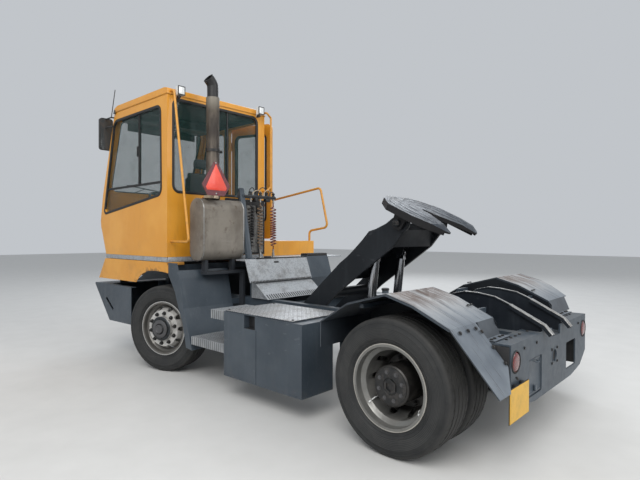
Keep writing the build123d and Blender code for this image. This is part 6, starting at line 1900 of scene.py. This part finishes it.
def grating(low, high, count):
    step = (high[0] - low[0]) / count
    middles = [low[0] + step * (i + 0.5) for i in range(count)]
    bars = [slab((x - 0.003, low[1], high[2] - 0.004), (x + 0.003, high[1], high[2] + 0.0015), 0) for x in middles]
    rims = ((low[1] - 0.002, low[1] + 0.004), (high[1] - 0.004, high[1] + 0.002))
    return bars + slabs(0.001, *[((low[0], inner, high[2] - 0.010), (high[0], outer, high[2] + 0.002))
                                 for inner, outer in rims])


def tank_strap(ahead):
    rear, front = ahead - STRAP_HALF, ahead + STRAP_HALF
    parts = slabs(0.001, ((rear, -1.2035, 0.360), (front, -1.1990, 0.740)),
                  ((rear, -1.140, 0.7990), (front, -0.822, 0.8035)),
                  ((rear, -1.140, 0.2965), (front, -0.822, 0.3010)))
    for up, sign in ((0.730, 1), (0.370, -1)):
        angles = [math.pi / 2 * i / BEND_LINKS for i in range(BEND_LINKS + 1)]
        arc = [at(ahead, -1.131 - BEND * math.sin(angle), up + sign * BEND * math.cos(angle)) for angle in angles]
        for a, b in zip(arc, arc[1:]):
            run = b - a
            link = block((-STRAP_HALF, -0.0012, -run.length / 2), (STRAP_HALF, 0.0012, run.length / 2), 0)
            parts.append(stand(link, shift(a.lerp(b, 0.5)) @ turn(-math.atan2(run.y, run.z), "X")))
    return parts


grating_bars = grating((1.856, 0.770, 0.786), (2.054, 1.192, 0.8005), 9)
grating_bars += grating((1.856, 0.810, 0.474), (2.394, 1.192, 0.4885), 22)
settle(grating_bars, "step_gratings", "galvanised")
settle(slabs(0.002, ((1.852, 0.790, 0.488), (1.862, 1.180, 0.720)), ((1.880, 0.800, 0.520), (2.020, 0.812, 0.716))),
       "step_stays", "beige_paint")
settle(tank_strap(1.040) + tank_strap(1.560), "tank_straps", "galvanised")
settle([stand(turned(FUEL_CAP, 32), shift(at(1.600, -1.080, 0.838)))], "fuel_cap", "hub_black", smooth=40)
print("grating bars:", len(grating_bars), "tank straps: 2")

# %% [markdown]
# Behind the coiled hoses the rear of the cab is not orange: a grey insulated panel in a black frame covers
# the engine tunnel, with boxes and cables on it. Two slabs whose faces are inset make the frame and the
# pressed field.

# %% Tunnel panel
PANEL_RIGHT, PANEL_LOW, PANEL_LEFT, PANEL_HIGH = -0.176, 1.282, 0.440, 1.968
BOX_BACK = 2.862
BOXES = [
    # low corner, then left and high
    ((2.815, 0.285, 1.735), 0.372, 1.820), ((2.822, 0.020, 1.500), 0.046, 1.880),
    ((2.800, 0.160, 1.840), 0.215, 1.930), ((2.818, -0.090, 1.800), -0.030, 1.900),
    ((2.812, 0.300, 1.420), 0.380, 1.520),
]
CABLES = [
    # radius, then the points of the line
    (0.009, (2.840, 0.330, 1.735), (2.835, 0.325, 1.600), (2.842, 0.250, 1.560), (2.838, 0.190, 1.440),
     (2.840, 0.180, 1.300)),
    (0.008, (2.835, 0.190, 1.840), (2.828, 0.170, 1.700), (2.832, 0.110, 1.640), (2.836, 0.060, 1.420),
     (2.838, 0.060, 1.300)),
    (0.008, (2.835, -0.060, 1.800), (2.830, -0.080, 1.650), (2.836, -0.040, 1.480), (2.838, -0.060, 1.300)),
]
panel_frame = slab((CAB_REAR - 0.012, PANEL_RIGHT, PANEL_LOW), (CAB_REAR - 0.0005, PANEL_LEFT, PANEL_HIGH), 0)
panel_frame = round_edges(recessed(panel_frame, BACK, 0.022, 0.006), 0.002, 1)
panel_field = slab((CAB_REAR - 0.009, PANEL_RIGHT + 0.024, PANEL_LOW + 0.024),
                   (CAB_REAR - 0.004, PANEL_LEFT - 0.024, PANEL_HIGH - 0.075), 0)
panel_field = round_edges(recessed(panel_field, BACK, 0.030, -0.003), 0.0015, 1)
boxes = [slab(low, (BOX_BACK, left, high), 0.005) for low, left, high in BOXES]
cables = [tube([at(*point) for point in points], radius, 8) for radius, *points in CABLES]
settle([panel_frame] + boxes[:4] + cables, "tunnel_fittings", "gasket", "cab")
settle([panel_field, boxes[4]], "tunnel_panel", "grey_panel", "cab")
print("tunnel panel height:", round(PANEL_HIGH - PANEL_LOW, 3))

# %% [markdown]
# The slanting hose post is a folded channel, wider than its core, with a black gusset towards the
# silencer. The channel is a slab turned onto the post's line, its face inset and pushed back.

# %% Hose post channel
GUSSET = [(0.420, 2.050), (0.452, 1.990), (0.430, 1.925), (0.405, 1.925)]
post_low, post_high = at(2.429, 0.4250, 1.256), at(2.640, 0.3800, 2.066)
post_run = post_high - post_low
post_up = post_run.normalized()
across = Vector((0, 1, 0)) - post_up * post_up.y
across.normalize()
channel = recessed(block((-0.019, -0.034, 0), (0.019, 0.034, post_run.length), 0), BACK, 0.006, 0.006)
settle([stand(round_edges(channel, 0.0025), axes(across.cross(post_up), across, post_up, post_low))],
       "hose_post_channel", "dark_paint")
settle([cut_plate([at(2.622, y, z) for y, z in GUSSET], (-0.010, 0, 0), 0.0012)], "hose_post_gusset", "gasket")
print("post length:", round(post_run.length, 3))

# %% [markdown]
# Headlamps sit low in the sloping skirt. Each lens is a slab whose face is inset twice and pulled out,
# like a moulded lamp.

# %% Front lamps
LAMP_SPANS = [(0.720, 0.930), (-1.180, -1.010)]
lamp_low, lamp_high = at(4.408, 0, 1.014), at(4.490, 0, 1.166)
slope = (lamp_high - lamp_low).normalized()
front_lenses = []
for right, left in LAMP_SPANS:
    lens = block((-0.006, right + 0.004, 0), (0.0, left - 0.004, 0.172), 0)
    mark(lens, "FACE", lambda centre, normal: normal.x > 0.9)
    bpy.ops.mesh.inset(thickness=0.010)
    extrude((0.003, 0, 0))
    bpy.ops.mesh.inset(thickness=0.012)
    bpy.ops.transform.translate(value=(0.002, 0, 0))
    leave_edit()
    front_lenses.append(stand(round_edges(lens, 0.002), axes((slope.z, 0, -slope.x), (0, 1, 0), slope, lamp_low)))
settle(front_lenses, "front_lamp_lenses", "lamp_clear")
print("front lamps:", len(front_lenses))

# %% [markdown]
# The engineering nodes keep their shape. Pressed and welded steel never has knife edges, so each node
# is welded into one skin and gets a narrow bevel, which catches the light the way real edges do.

# %% Finish the engineering nodes
NODE_FINISH = {
    "orange_paint": ["cab_left_side", "cab_right_side", "cab_rear_wall", "cab_front", "cab_roof", "cab_door",
                     "front_skirt", "engine_hood"],
    "orange_metal": ["hood_handrail", "grab_rails"],
    "dark_paint": ["chassis_frame", "rear_crossmember", "front_bumper", "front_mudguards", "tool_box",
                   "fuel_tank", "rear_axle", "front_axle", "cab_floor", "step_box", "hose_post"],
    "ramp_paint": ["trailer_ramps"],
    "guard_paint": ["rear_mudguards"],
    "black_paint": ["boom", "lift_barrels", "engine_block", "propshaft", "knuckle_left", "knuckle_right",
                    "tie_rod", "front_grille"],
    "plate_steel": ["fifth_wheel"],
    "galvanised": ["walkway"],
    "punched_step": ["side_steps"],
    "rod_steel": ["lift_rods"],
    "exhaust_metal": ["silencer"],
    "stack_metal": ["exhaust_stack"],
    "rim_front_left": ["front_rim_left"],
    "rim_front_right": ["front_rim_right"],
    "rim_rear_left": ["rear_rims_left"],
    "rim_rear_right": ["rear_rims_right"],
    "seat_cloth": ["seat"],
    "black_plastic": ["dashboard", "steering_wheel", "mirrors"],
    "lamp_clear": ["headlamps", "work_lamps"],
    "dull_red": ["warning_triangle"],
    "gasket": ["tail_lamps"],
}
# these get no bevel
BARE_NODES = {
    "window_glass": ["cab_glass", "door_glass"],
    "tyre_front_left": ["front_tyre_left"],
    "tyre_front_right": ["front_tyre_right"],
    "tyre_rear_left": ["rear_tyres_left"],
    "tyre_rear_right": ["rear_tyres_right"],
    "hose_black": ["coil_black"],
    "hose_brown": ["coil_brown"],
    "hose_red": ["coil_red"],
}
NODE_BEVEL = 0.003
SOFT_BEVEL = {"cab_left_side": 0.008, "cab_right_side": 0.008, "cab_roof": 0.010, "cab_door": 0.006,
              "seat": 0.03, "dashboard": 0.02, "mirrors": 0.012, "boom": 0.004, "tool_box": 0.005}
bare = {name for names in BARE_NODES.values() for name in names}


def finish_node(name, finish):
    node = NODES[name]
    node.data.materials.clear()
    node.data.materials.append(MATERIALS[finish])
    node.modifiers.new("weld", "WELD").merge_threshold = 0.00002
    if name not in bare:
        bevel = node.modifiers.new("edges", "BEVEL")
        bevel.width = SOFT_BEVEL.get(name, NODE_BEVEL)
        bevel.segments = 2
        bevel.limit_method = "ANGLE"
        bevel.angle_limit = math.radians(32)
        bevel.harden_normals = False


dressed = [(name, finish) for table in (NODE_FINISH, BARE_NODES) for finish, names in table.items() for name in names]
for name, finish in dressed:
    finish_node(name, finish)
print("finished nodes:", len(dressed))

# %% Finish
low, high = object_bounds()
